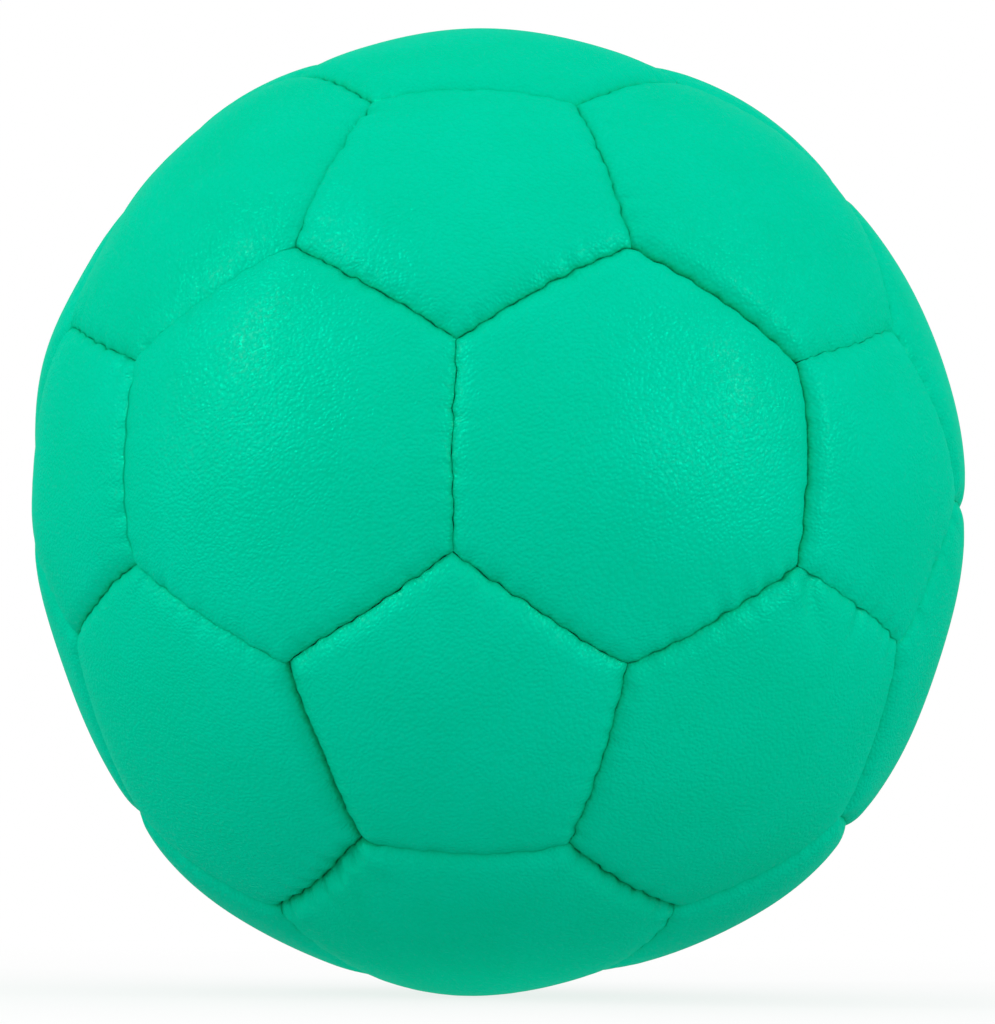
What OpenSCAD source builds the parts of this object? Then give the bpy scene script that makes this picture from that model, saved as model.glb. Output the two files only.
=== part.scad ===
// Stuffed handball of thirty-two stitched panels: twelve pentagons and twenty hexagons.
// Millimetres. The origin is the middle of the ball, +Z is up and -Y faces the viewer.
// A seam between two hexagons crosses each axis, and the front one stands upright.

/* [Ball] */
// Diameter over the crowns of the panels
ball_d = 150; // [140:1:192]
// How far the corners of the panels lie below their crowns
corner_drop = 1.2; // [0.8:0.1:2.4]

/* [Panels] */
// Thickness of the leather
skin_t = 1.2; // [1:0.05:1.4]
// Radius of the rolled edge along each seam
roll_r = 1.8; // [1.4:0.1:2]
// Gap between the turned-in edges of two neighbours
seam_gap = 0.2; // [0.1:0.05:0.3]

/* [Lining] */
// Thickness of the backing cloth
backing_t = 0.6; // [0.4:0.05:0.7]
// Clearance between the layers
layer_gap = 0.1; // [0.05:0.05:0.15]

/* [Stitching] */
// Greatest distance from one stitch to the next
stitch_pitch = 4; // [3.2:0.1:5]
// Distance from a corner of a panel to the first stitch
stitch_margin = 3.1; // [2.4:0.1:4]
// Depth of the stitches below the corners of the panels
stitch_depth = 2.3; // [2.1:0.1:3]
// Leather left between a stitch hole and the edge of the turned-in flange
hole_edge = 0.8; // [0.6:0.1:1.4]
// Width of the waxed thread
thread_w = 0.9; // [0.7:0.05:1]
// Clearance round the thread
thread_gap = 0.1; // [0.05:0.05:0.15]

/* [Hidden] */
$fn = 96;
// Facets on stitches and their holes
fine_fn = 24;

// Directions of the pentagons: the corners of an icosahedron with sides of 2
phi = (1 + sqrt(5)) / 2;
front_high = [0, -phi, 1];
front_low = [0, -phi, -1];
back_high = [0, phi, 1];
back_low = [0, phi, -1];
top_left = [-1, 0, phi];
top_right = [1, 0, phi];
bottom_left = [-1, 0, -phi];
bottom_right = [1, 0, -phi];
left_front = [-phi, -1, 0];
left_back = [-phi, 1, 0];
right_front = [phi, -1, 0];
right_back = [phi, 1, 0];
PENTAGONS = [
    front_high, front_low, back_high, back_low, top_left, top_right,
    bottom_left, bottom_right, left_front, left_back, right_front, right_back
];
// Above the side of the icosahedron and below its next distance, as a share of the side
near_share = 1.3;
near = near_share * norm(front_high - front_low);

function unit(v) = v / norm(v);
function angle_between(a, b) = acos(unit(a) * unit(b));
function touching(a, b) = a != b && norm(a - b) < near;
function neighbours(p) = [for (q = PENTAGONS) if (touching(p, q)) q];

// Each hexagon lies between three pentagons that touch one another
HEXAGONS = [
    for (i = [0:len(PENTAGONS) - 3])
        for (j = [i + 1:len(PENTAGONS) - 2])
            for (k = [j + 1:len(PENTAGONS) - 1])
                let (a = PENTAGONS[i], b = PENTAGONS[j], c = PENTAGONS[k])
                    if (touching(a, b) && touching(b, c) && touching(c, a)) [a, b, c]
];

// Angles from the middle of a panel to its corners and to the middles of its sides
corner_dir = 2 * front_high + front_low;
side_dir = 4 * front_high + front_low + right_front;
hexagon_dir = front_high + front_low + right_front;
pentagon_corner = angle_between(front_high, corner_dir);
pentagon_side = angle_between(front_high, side_dir);
hexagon_corner = angle_between(hexagon_dir, corner_dir);
hexagon_side = angle_between(hexagon_dir, side_dir);

// The thread is flat along the seam and pulled round in each hole
stitch_share = 0.9;
stitch_d = stitch_share * thread_w;
hole_d = stitch_d + 2 * thread_gap;

// Radii from the middle of the ball, from the outside in
crown_r = ball_d / 2;
corner_r = crown_r - corner_drop;
stitch_r = corner_r - stitch_depth;
flange_r = stitch_r - hole_d / 2 - hole_edge;
backing_r = flange_r + backing_t;
stuffing_r = flange_r - layer_gap;

// Distances from the plane of a seam
flange_at = seam_gap / 2;
cavity_at = flange_at + skin_t;
rail_at = cavity_at + thread_gap + thread_w / 2;
lining_at = rail_at + thread_w / 2 + thread_gap;

// Length of one side at the stitches, the stitches along it, and the angle from one to the next
side_length = 2 * stitch_r * angle_between(corner_dir, side_dir) * PI / 180;
stitched_length = side_length - 2 * stitch_margin;
stitches = ceil(stitched_length / stitch_pitch) + 1;
stitch_step = stitched_length / (stitches - 1) / stitch_r * 180 / PI;

// How far a rolled edge's circle stands past the faces that it joins
roll_bite_share = 0.03;
roll_bite = roll_bite_share * roll_r;
// How far each rolled edge turns about the middle of its panel's sphere
roll_turn = 44;
// Extra length of every cut
overrun = 1;

// A panel bulges as part of a smaller sphere through its crown and its corners.
// puff_c is how far that sphere's middle lies from the middle of the ball.
function puff_c(corner) =
    (pow(crown_r, 2) - pow(corner_r, 2)) / (2 * (crown_r - corner_r * cos(corner)));

// Turns +Z to the direction out, with +X as near as can be to the direction side
module facing(out, side) {
    z = unit(out);
    x = unit(side - (side * z) * z);
    y = cross(z, x);
    multmatrix([
        [x[0], y[0], z[0], 0],
        [x[1], y[1], z[1], 0],
        [x[2], y[2], z[2], 0],
        [0, 0, 0, 1]
    ]) children();
}

// The space between the seams of one panel, drawn in by inset from each seam's plane
module wedge(sides, side_angle, inset) {
    translate([0, 0, inset / sin(side_angle)])
        intersection_for(i = [0:sides - 1])
            rotate([0, side_angle, i * 360 / sides])
                translate([-ball_d, -ball_d / 2, -ball_d / 2])
                    cube([ball_d, ball_d, 2 * ball_d]);
}

// The bulging body of one panel, less what lies within the radius floor_r
module bulge(sides, side_angle, corner, inset, depth, floor_r) {
    c = puff_c(corner);
    difference() {
        intersection() {
            translate([0, 0, c])
                sphere(r = crown_r - c - depth);
            wedge(sides, side_angle, inset);
        }
        sphere(r = floor_r);
    }
}

// Cuts the corner between a panel's face and the side that lies across +X to a round edge
module rolled_edge(side_angle, corner) {
    c = puff_c(corner);
    middle_x = c * sin(side_angle) - flange_at - roll_r + roll_bite;
    middle_r = crown_r - c - roll_r + roll_bite;
    cut = roll_r + overrun;
    translate([-c * sin(side_angle), 0, c * cos(side_angle)])
        rotate([0, -90, 0])
            rotate([0, 0, -roll_turn / 2])
                rotate_extrude(angle = roll_turn)
                    translate([sqrt(pow(middle_r, 2) - pow(middle_x, 2)), -middle_x])
                        difference() {
                            translate([0, -cut])
                                square([cut, cut]);
                            circle(r = roll_r);
                        }
}

// Places its children at each stitch of a seam in the YZ plane, with their +Z across it
module at_stitches() {
    for (i = [0:stitches - 1])
        rotate([(i - (stitches - 1) / 2) * stitch_step, 0, 0])
            translate([0, 0, stitch_r])
                rotate([0, 90, 0])
                    children();
}

// Leather of one panel: the crown, the rolled edges, and the edges turned in and punched
module skin(sides, side_angle, corner) {
    difference() {
        bulge(sides, side_angle, corner, flange_at, 0, flange_r);
        bulge(sides, side_angle, corner, cavity_at, skin_t, flange_r - overrun);
        for (i = [0:sides - 1])
            rotate([0, side_angle, i * 360 / sides]) {
                rolled_edge(side_angle, corner);
                at_stitches()
                    translate([0, 0, -cavity_at - overrun])
                        cylinder(h = cavity_at + 2 * overrun, d = hole_d, $fn = fine_fn);
            }
    }
}

module hexagon_panel(hexagon) {
    color([0.02, 0.74, 0.59])
        facing(hexagon[0] + hexagon[1] + hexagon[2], hexagon[0])
            skin(6, hexagon_side, hexagon_corner);
}

module pentagon_panel(pentagon) {
    color([0.01, 0.7, 0.56])
        facing(pentagon, -neighbours(pentagon)[0])
            skin(5, pentagon_side, pentagon_corner);
}

// Foam under the leather of every hexagon
module hexagon_pads() {
    color([0.93, 0.9, 0.8])
        for (hexagon = HEXAGONS)
            facing(hexagon[0] + hexagon[1] + hexagon[2], hexagon[0])
                bulge(6, hexagon_side, hexagon_corner, lining_at, skin_t + layer_gap,
                    backing_r + layer_gap);
}

// Foam under the leather of every pentagon
module pentagon_pads() {
    color([0.93, 0.9, 0.8])
        for (pentagon = PENTAGONS)
            facing(pentagon, -neighbours(pentagon)[0])
                bulge(5, pentagon_side, pentagon_corner, lining_at, skin_t + layer_gap,
                    backing_r + layer_gap);
}

// One layer of cloth between two radii
module backing(sides, side_angle) {
    difference() {
        intersection() {
            sphere(r = backing_r);
            wedge(sides, side_angle, lining_at);
        }
        sphere(r = flange_r);
    }
}

// Cloth that backs every hexagon
module hexagon_backings() {
    color([0.85, 0.84, 0.8])
        for (hexagon = HEXAGONS)
            facing(hexagon[0] + hexagon[1] + hexagon[2], hexagon[0])
                backing(6, hexagon_side);
}

// Cloth that backs every pentagon
module pentagon_backings() {
    color([0.85, 0.84, 0.8])
        for (pentagon = PENTAGONS)
            facing(pentagon, -neighbours(pentagon)[0])
                backing(5, pentagon_side);
}

// Thread of one seam: a run along each side of it and a stitch through each pair of holes
module seam_thread(middle, along) {
    run = (stitches - 1) * stitch_step + thread_w / stitch_r * 180 / PI;
    facing(middle, cross(along, middle)) {
        at_stitches()
            cylinder(h = 2 * rail_at, d = stitch_d, center = true, $fn = fine_fn);
        for (side = [-1, 1])
            translate([side * rail_at, 0, 0])
                rotate([0, -90, 0])
                    rotate([0, 0, -run / 2])
                        rotate_extrude(angle = run)
                            translate([stitch_r - thread_w / 2, -thread_w / 2])
                                square(thread_w);
    }
}

// Thread of the five seams round one pentagon
module pentagon_thread(pentagon) {
    around = neighbours(pentagon);
    color([0.02, 0.42, 0.33])
        for (i = [0:len(around) - 2])
            for (j = [i + 1:len(around) - 1])
                if (touching(around[i], around[j]))
                    seam_thread(4 * pentagon + around[i] + around[j], around[i] - around[j]);
}

// Thread of the five seams between hexagons that lie nearest to the direction side
module hexagon_thread(side) {
    nearest_share = 0.7;
    color([0.02, 0.38, 0.3])
        for (i = [0:len(PENTAGONS) - 2])
            for (j = [i + 1:len(PENTAGONS) - 1])
                let (a = PENTAGONS[i], b = PENTAGONS[j])
                    if (touching(a, b) && unit(a + b) * side > nearest_share)
                        seam_thread(a + b, a - b);
}

// Fibre packed tight inside the panels
module fibre_stuffing() {
    color([0.8, 0.78, 0.74])
        sphere(r = stuffing_r);
}

hexagon_panel([front_high, front_low, left_front]);  // hexagon_front_left
hexagon_panel([front_high, front_low, right_front]);  // hexagon_front_right
hexagon_panel([back_high, back_low, left_back]);  // hexagon_back_left
hexagon_panel([back_high, back_low, right_back]);  // hexagon_back_right
hexagon_panel([top_left, top_right, front_high]);  // hexagon_top_front
hexagon_panel([top_left, top_right, back_high]);  // hexagon_top_back
hexagon_panel([bottom_left, bottom_right, front_low]);  // hexagon_bottom_front
hexagon_panel([bottom_left, bottom_right, back_low]);  // hexagon_bottom_back
hexagon_panel([left_front, left_back, top_left]);  // hexagon_left_high
hexagon_panel([left_front, left_back, bottom_left]);  // hexagon_left_low
hexagon_panel([right_front, right_back, top_right]);  // hexagon_right_high
hexagon_panel([right_front, right_back, bottom_right]);  // hexagon_right_low
hexagon_panel([front_high, left_front, top_left]);  // hexagon_front_left_high
hexagon_panel([front_high, right_front, top_right]);  // hexagon_front_right_high
hexagon_panel([front_low, left_front, bottom_left]);  // hexagon_front_left_low
hexagon_panel([front_low, right_front, bottom_right]);  // hexagon_front_right_low
hexagon_panel([back_high, left_back, top_left]);  // hexagon_back_left_high
hexagon_panel([back_high, right_back, top_right]);  // hexagon_back_right_high
hexagon_panel([back_low, left_back, bottom_left]);  // hexagon_back_left_low
hexagon_panel([back_low, right_back, bottom_right]);  // hexagon_back_right_low
pentagon_panel(front_high);  // pentagon_front_high
pentagon_panel(front_low);  // pentagon_front_low
pentagon_panel(back_high);  // pentagon_back_high
pentagon_panel(back_low);  // pentagon_back_low
pentagon_panel(top_left);  // pentagon_top_left
pentagon_panel(top_right);  // pentagon_top_right
pentagon_panel(bottom_left);  // pentagon_bottom_left
pentagon_panel(bottom_right);  // pentagon_bottom_right
pentagon_panel(left_front);  // pentagon_left_front
pentagon_panel(left_back);  // pentagon_left_back
pentagon_panel(right_front);  // pentagon_right_front
pentagon_panel(right_back);  // pentagon_right_back
pentagon_thread(front_high);  // thread_front_high
pentagon_thread(front_low);  // thread_front_low
pentagon_thread(back_high);  // thread_back_high
pentagon_thread(back_low);  // thread_back_low
pentagon_thread(top_left);  // thread_top_left
pentagon_thread(top_right);  // thread_top_right
pentagon_thread(bottom_left);  // thread_bottom_left
pentagon_thread(bottom_right);  // thread_bottom_right
pentagon_thread(left_front);  // thread_left_front
pentagon_thread(left_back);  // thread_left_back
pentagon_thread(right_front);  // thread_right_front
pentagon_thread(right_back);  // thread_right_back
hexagon_thread([0, -1, 0]);  // thread_hexagons_front
hexagon_thread([0, 1, 0]);  // thread_hexagons_back
hexagon_thread([-1, 0, 0]);  // thread_hexagons_left
hexagon_thread([1, 0, 0]);  // thread_hexagons_right
hexagon_thread([0, 0, 1]);  // thread_hexagons_top
hexagon_thread([0, 0, -1]);  // thread_hexagons_bottom
hexagon_pads();
pentagon_pads();
hexagon_backings();
pentagon_backings();
fibre_stuffing();
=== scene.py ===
"""Stuffed handball: thirty-two stitched leather panels over foam, cloth and packed fibre.

Everything is in metres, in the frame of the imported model. The origin is the middle of the
ball, +Z is up and -Y faces the viewer. A point on a panel is given by its place on the flat
plane that touches the unit sphere at the panel's middle, where each seam is a straight line.
"""
import logging
import math
from abc import ABC, abstractmethod
from collections.abc import Callable, Sequence
from dataclasses import dataclass, field
from enum import Enum
from functools import cache, cached_property
from itertools import combinations

import bpy
import numpy as np
from mathutils import Matrix, Vector


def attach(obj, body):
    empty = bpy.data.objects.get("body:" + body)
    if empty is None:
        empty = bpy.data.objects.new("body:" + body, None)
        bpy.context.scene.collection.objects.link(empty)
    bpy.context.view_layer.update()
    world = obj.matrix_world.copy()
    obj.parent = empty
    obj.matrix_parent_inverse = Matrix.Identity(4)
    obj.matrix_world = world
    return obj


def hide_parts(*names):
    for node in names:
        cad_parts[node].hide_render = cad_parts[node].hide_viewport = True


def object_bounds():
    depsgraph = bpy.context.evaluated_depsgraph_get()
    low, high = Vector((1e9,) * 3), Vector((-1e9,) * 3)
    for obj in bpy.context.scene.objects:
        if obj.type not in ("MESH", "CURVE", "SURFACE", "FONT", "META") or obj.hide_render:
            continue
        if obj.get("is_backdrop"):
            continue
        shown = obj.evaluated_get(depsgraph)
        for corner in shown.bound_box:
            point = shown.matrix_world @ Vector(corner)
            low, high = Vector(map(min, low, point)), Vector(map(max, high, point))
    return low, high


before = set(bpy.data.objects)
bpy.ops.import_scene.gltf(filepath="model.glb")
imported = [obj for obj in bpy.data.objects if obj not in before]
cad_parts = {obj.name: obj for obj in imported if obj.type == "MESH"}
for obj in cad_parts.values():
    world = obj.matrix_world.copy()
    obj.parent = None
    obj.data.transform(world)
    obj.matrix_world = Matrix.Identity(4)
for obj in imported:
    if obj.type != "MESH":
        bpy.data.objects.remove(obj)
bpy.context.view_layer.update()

logging.basicConfig(level=logging.INFO, format="%(message)s")
log = logging.getLogger("handball")

MM = 0.001
BODY = "root"
SEAM_SEED, LUMP_SEED, CROWN_SEED, HIDE_SEED, TONE_SEED, FIBRE_SEED = 47, 48, 49, 147, 247, 347
UV_PER_METRE = 10


# Directions and places


def unit(vectors: np.ndarray) -> np.ndarray:
    """Each vector divided by its length."""
    return vectors / np.linalg.norm(vectors, axis=-1, keepdims=True)


def smooth(part: np.ndarray) -> np.ndarray:
    """Returns a smooth step: the square of a part times three less twice the part."""
    part = np.clip(part, 0, 1)
    return part * part * (3 - 2 * part)


def bell(away: np.ndarray) -> np.ndarray:
    """Returns a bell curve: e to the power of less the square of how far away it is."""
    return np.exp(-(away**2))


def ripples(way: np.ndarray, lengths: Sequence[float], phases: np.ndarray) -> np.ndarray:
    """Adds up sine waves of several lengths.

    Args:
        way: Distances along them.
        lengths: Their lengths, in millimetres.
        phases: The phase of each.

    Returns:
        Their sum at each distance.
    """
    return np.sin(way[..., None] * 2 * math.pi / (np.array(lengths) * MM) + phases).sum(axis=-1)


def node_points(node: str) -> np.ndarray:
    """Returns the vertices of a CAD node, one row each."""
    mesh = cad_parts[node].data
    points = np.empty(len(mesh.vertices) * 3, np.float32)
    mesh.vertices.foreach_get("co", points)
    return points.reshape(-1, 3).astype(float)


@cache
def node_middle(node: str) -> np.ndarray:
    """Returns the direction of the middle of a CAD node."""
    return unit(node_points(node).mean(axis=0))


def nearest_node(nodes: Sequence[str], axis: np.ndarray) -> str:
    """Returns the one of the nodes whose middle lies nearest to a direction."""
    return max(nodes, key=lambda node: float(node_middle(node) @ axis))


def direction(azimuth: float, elevation: float) -> np.ndarray:
    """Works out a direction from its turn to the right of the front and its height.

    Args:
        azimuth: The turn, in degrees.
        elevation: The height, in degrees.

    Returns:
        The unit direction.
    """
    turn, rise = math.radians(azimuth), math.radians(elevation)
    return np.array(
        [math.sin(turn) * math.cos(rise), -math.cos(turn) * math.cos(rise), math.sin(rise)]
    )


class PanelKind(Enum):
    """The two shapes that the leather is cut to, by their number of sides."""

    PENTAGON = 5
    HEXAGON = 6

    @property
    def corner(self) -> float:
        """The angle from the middle of a panel to each of its corners, in radians."""
        return 0.3505 if self is PanelKind.PENTAGON else 0.4154


@dataclass(frozen=True)
class BallSizes:
    """Sizes of the whole ball.

    Attributes:
        crown_r: From the middle of the ball to the crown of a panel.
        hem_r: To the hem of the turned-in leather.
        stitch_r: To the line of the stitches.
        corner_drop: How far the corners of the panels lie below their crowns.
        skin_t: Thickness of the leather.
        half_gap: From the plane of a seam to the turned-in leather beside it.
        cloth_t: Thickness of the backing cloth.
        layer_gap: Clearance between the layers.
        stitches: Stitches along one side of a panel.
        stitch_margin: From a corner of a panel to the first stitch.
    """

    crown_r: float
    hem_r: float
    stitch_r: float
    corner_drop: float = 1.2 * MM
    skin_t: float = 1.2 * MM
    half_gap: float = 0.1 * MM
    cloth_t: float = 0.6 * MM
    layer_gap: float = 0.1 * MM
    stitches: int = 7
    stitch_margin: float = 3.1 * MM

    @classmethod
    def from_frame(cls) -> "BallSizes":
        """Returns the sizes, with the radii measured on the CAD nodes."""
        leather = np.linalg.norm(node_points("pentagon_front_high"), axis=1)
        thread = np.linalg.norm(node_points("thread_front_high"), axis=1)
        return cls(leather.max(), leather.min(), (thread.min() + thread.max()) / 2)


@dataclass(frozen=True, eq=False)
class Panel:
    """One panel's place on the ball.

    Attributes:
        name: The CAD node of the panel.
        kind: Its shape.
        number: Its number among the panels.
        axis: Direction of its middle.
        across: Direction of its first corner, square to the axis.
        seams: The number of the seam along each side, starting at the first corner.
        turns: 1 where a side runs the way its seam does, and -1 where it runs back.
    """

    name: str
    kind: PanelKind
    number: int
    axis: np.ndarray
    across: np.ndarray
    seams: np.ndarray
    turns: np.ndarray

    @property
    def place(self) -> str:
        """Its name without its kind."""
        return self.name.partition("_")[2]

    @property
    def beside(self) -> np.ndarray:
        """The direction square to its axis and to its first corner."""
        return np.cross(self.axis, self.across)

    @property
    def cell(self) -> np.ndarray:
        """Where its middle lies on the hide that it was cut from, in UV units."""
        return np.array([self.number % 6, self.number // 6]) * 0.75

    def directions(self, flat: np.ndarray) -> np.ndarray:
        """Returns the unit directions of points on the panel's flat plane.

        Args:
            flat: Points on the plane, one row each.
        """
        return unit(self.axis + flat[:, :1] * self.across + flat[:, 1:] * self.beside)


@dataclass(frozen=True, eq=False)
class Seam:
    """One seam's place on the ball.

    Attributes:
        middle: Direction of its middle.
        along: Direction that it runs in there.
        owner: The thread node that holds its stitches.
    """

    middle: np.ndarray
    along: np.ndarray
    owner: str

    @property
    def mixed(self) -> bool:
        """Whether it joins a hexagon to a pentagon."""
        return "hexagons" not in self.owner


class Layout:
    """Where the panels and seams lie: the faces and edges of a truncated icosahedron."""

    def __init__(self) -> None:
        """Works out every direction, and names each after the CAD node that lies there."""
        self.pentagons = self._pentagon_axes()
        touching = np.isclose(self.pentagons @ self.pentagons.T, 1 / math.sqrt(5))
        pairs = np.argwhere(touching)
        self.corners = unit(2 * self.pentagons[pairs[:, 0]] + self.pentagons[pairs[:, 1]])
        hexagons = [
            unit(self.pentagons[list(three)].sum(axis=0))
            for three in combinations(range(len(self.pentagons)), 3)
            if all(touching[a, b] for a, b in combinations(three, 2))
        ]
        self.half_side = math.acos(np.sort(self.corners @ self.corners[0])[-2]) / 2
        self._seam_ends: list[tuple[int, int]] = []
        self.panels: list[Panel] = []
        self._add_panels(PanelKind.PENTAGON, self.pentagons)
        self._add_panels(PanelKind.HEXAGON, np.array(hexagons))
        self.seams = [self._seam(ends) for ends in self._seam_ends]

    @staticmethod
    def _pentagon_axes() -> np.ndarray:
        """Returns the corners of an icosahedron: nought, one and the golden ratio in turn."""
        golden = (1 + math.sqrt(5)) / 2
        signs = np.array([(a, b) for a in (-1, 1) for b in (-1, 1)])
        first = np.column_stack([np.zeros(len(signs)), golden * signs[:, 0], signs[:, 1]])
        return unit(np.concatenate([np.roll(first, turn, axis=1) for turn in range(3)]))

    def _add_panels(self, kind: PanelKind, axes: np.ndarray) -> None:
        """Adds the panels of one kind.

        Args:
            kind: Their shape.
            axes: The direction of each one's middle.
        """
        prefix = kind.name.lower() + "_"
        nodes = [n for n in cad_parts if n.startswith(prefix) and n.count("_") > 1]
        for axis in axes:
            name = nearest_node(nodes, axis)
            ring = np.argsort(self.corners @ axis)[-kind.value:]
            across = unit(self.corners[ring[0]] - (self.corners[ring[0]] @ axis) * axis)
            beside = np.cross(axis, across)
            turn = np.arctan2(self.corners[ring] @ beside, self.corners[ring] @ across)
            ring = ring[np.argsort(np.round(turn, 6) % (2 * math.pi))]
            seams, turns = zip(*(self._side(a, b) for a, b in zip(ring, np.roll(ring, -1))))
            self.panels.append(
                Panel(name, kind, len(self.panels), axis, across, np.array(seams), np.array(turns))
            )

    def _side(self, start: int, end: int) -> tuple[int, int]:
        """Finds the seam between two corners, or adds it.

        Args:
            start: The corner that a side starts at.
            end: The corner that it ends at.

        Returns:
            The seam's number, and 1 if the side runs the way it does or else -1.
        """
        ends = (int(min(start, end)), int(max(start, end)))
        if ends not in self._seam_ends:
            self._seam_ends.append(ends)
        return self._seam_ends.index(ends), 1 if start < end else -1

    def _seam(self, ends: tuple[int, int]) -> Seam:
        """Returns the seam between two corners.

        Args:
            ends: The numbers of its two corners.
        """
        start, end = self.corners[list(ends)]
        middle = unit(start + end)
        further, nearest = np.sort(self.pentagons @ middle)[-2:]
        mixed = not math.isclose(nearest, further)
        threads = [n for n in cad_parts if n.startswith("thread_")]
        nodes = [n for n in threads if ("hexagons" in n) != mixed]
        return Seam(middle, unit(end - start), nearest_node(nodes, middle))


# The ball's form


@dataclass(frozen=True)
class Viewpoint:
    """Where the ball is seen from, in degrees and metres.

    Attributes:
        azimuth: Turn to the viewer's right, from the front.
        elevation: Height above the ball's middle, as an angle.
        roll: How far the viewer's head leans to the right.
        distance: From the middle of the ball.
        lens: Focal length for a picture whose long side is sensor.
        sensor: The long side, in millimetres as the camera has it.
        aim: How far right of the middle and above it the view's middle lies.
    """

    azimuth: float = 4.67
    elevation: float = -7.11
    roll: float = -0.74
    distance: float = 0.507
    lens: float = 112.5
    sensor: float = 36.0
    aim: tuple[float, float] = (0.25 * MM, -0.44 * MM)

    def axes(self) -> tuple[np.ndarray, np.ndarray, np.ndarray]:
        """Returns the directions to the viewer's right, up, and from the ball to the viewer."""
        lean = math.radians(self.roll)
        toward = direction(self.azimuth, self.elevation)
        level = unit(np.cross([0, 0, 1], toward))
        above = np.cross(toward, level)
        right = level * math.cos(lean) - above * math.sin(lean)
        up = above * math.cos(lean) + level * math.sin(lean)
        return right, up, toward


@dataclass(frozen=True)
class Roundness:
    """How the stuffed ball departs from a sphere, as shares of its radius.

    Attributes:
        view: Where the shape is taken from.
        waves: For each number of waves round the outline, their share and their start.
    """

    view: Viewpoint
    waves: dict[int, tuple[float, float]] = field(
        default_factory=lambda: {
            1: (-0.0015, -0.0015),
            2: (-0.0171, -0.0075),
            3: (0.0062, 0.0064),
            4: (-0.0041, -0.003),
            5: (-0.0026, 0.0007),
            6: (0.0027, 0.0),
            7: (0.003, 0.0037),
            8: (0.0033, -0.0006),
        }
    )

    def shaped(self, points: np.ndarray) -> np.ndarray:
        """Swells and draws in points round the line of sight.

        A point's place across the line of sight, as a complex number of length at most one,
        is raised to each number of waves. Its real and imaginary parts, weighted by the two
        shares, add up to the share by which the point moves out from the middle.

        Args:
            points: Points on the ball, one row each.
        """
        right, up, _ = self.view.axes()
        directions = unit(points)
        place = directions @ right + 1j * (directions @ up)
        swell = sum((complex(a, -b) * place**n).real for n, (a, b) in self.waves.items())
        return points * (1 + swell[:, None])


@dataclass(frozen=True)
class SeamHand:
    """How the sewer's hand shows in a seam that differs plainly from the rest.

    Attributes:
        panels: The places of the two panels that it joins.
        slack: Nought where the seam is drawn shut and hardly shows, and one where it is
            open. Past one its edges only roll in deeper.
        pucker: How strongly its stitches gather the leather.
    """

    panels: tuple[str, str]
    slack: float
    pucker: float = 0.3


HANDS = (
    SeamHand(("front_left", "front_left_high"), 0.05, 0.1),
    SeamHand(("front_left", "left_front"), 0.12, 0.2),
    SeamHand(("front_left", "front_left_low"), 0.35, 0.5),
    SeamHand(("front_left", "front_high"), 0.8, 0.2),
    SeamHand(("front_left", "front_right"), 0.6, 0.1),
    SeamHand(("front_left", "front_low"), 0.75, 0.3),
    SeamHand(("front_right", "front_high"), 0.85, 0.3),
    SeamHand(("front_right", "front_low"), 0.7, 0.2),
    SeamHand(("front_right", "front_right_high"), 1.25, 0.5),
    SeamHand(("front_right", "right_front"), 1.1, 0.1),
    SeamHand(("front_right", "front_right_low"), 0.8, 0.9),
    SeamHand(("front_left_low", "front_low"), 1.45, 0.1),
    SeamHand(("front_right_low", "front_low"), 0.8, 0.1),
    SeamHand(("bottom_front", "front_low"), 0.45, 0.1),
    SeamHand(("bottom_front", "front_left_low"), 1.25, 1.0),
    SeamHand(("bottom_front", "front_right_low"), 1.1, 0.6),
    SeamHand(("right_high", "right_low"), 0.45),
    SeamHand(("left_high", "front_left_high"), 0.15, 0.1),
    SeamHand(("left_high", "left_front"), 0.3, 0.1),
    SeamHand(("left_low", "bottom_left"), 0.4),
    SeamHand(("bottom_front", "bottom_left"), 0.4),
    SeamHand(("bottom_front", "bottom_right"), 0.3),
    SeamHand(("bottom_back", "bottom_right"), 0.3),
    SeamHand(("right_low", "bottom_right"), 0.5),
)


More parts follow.
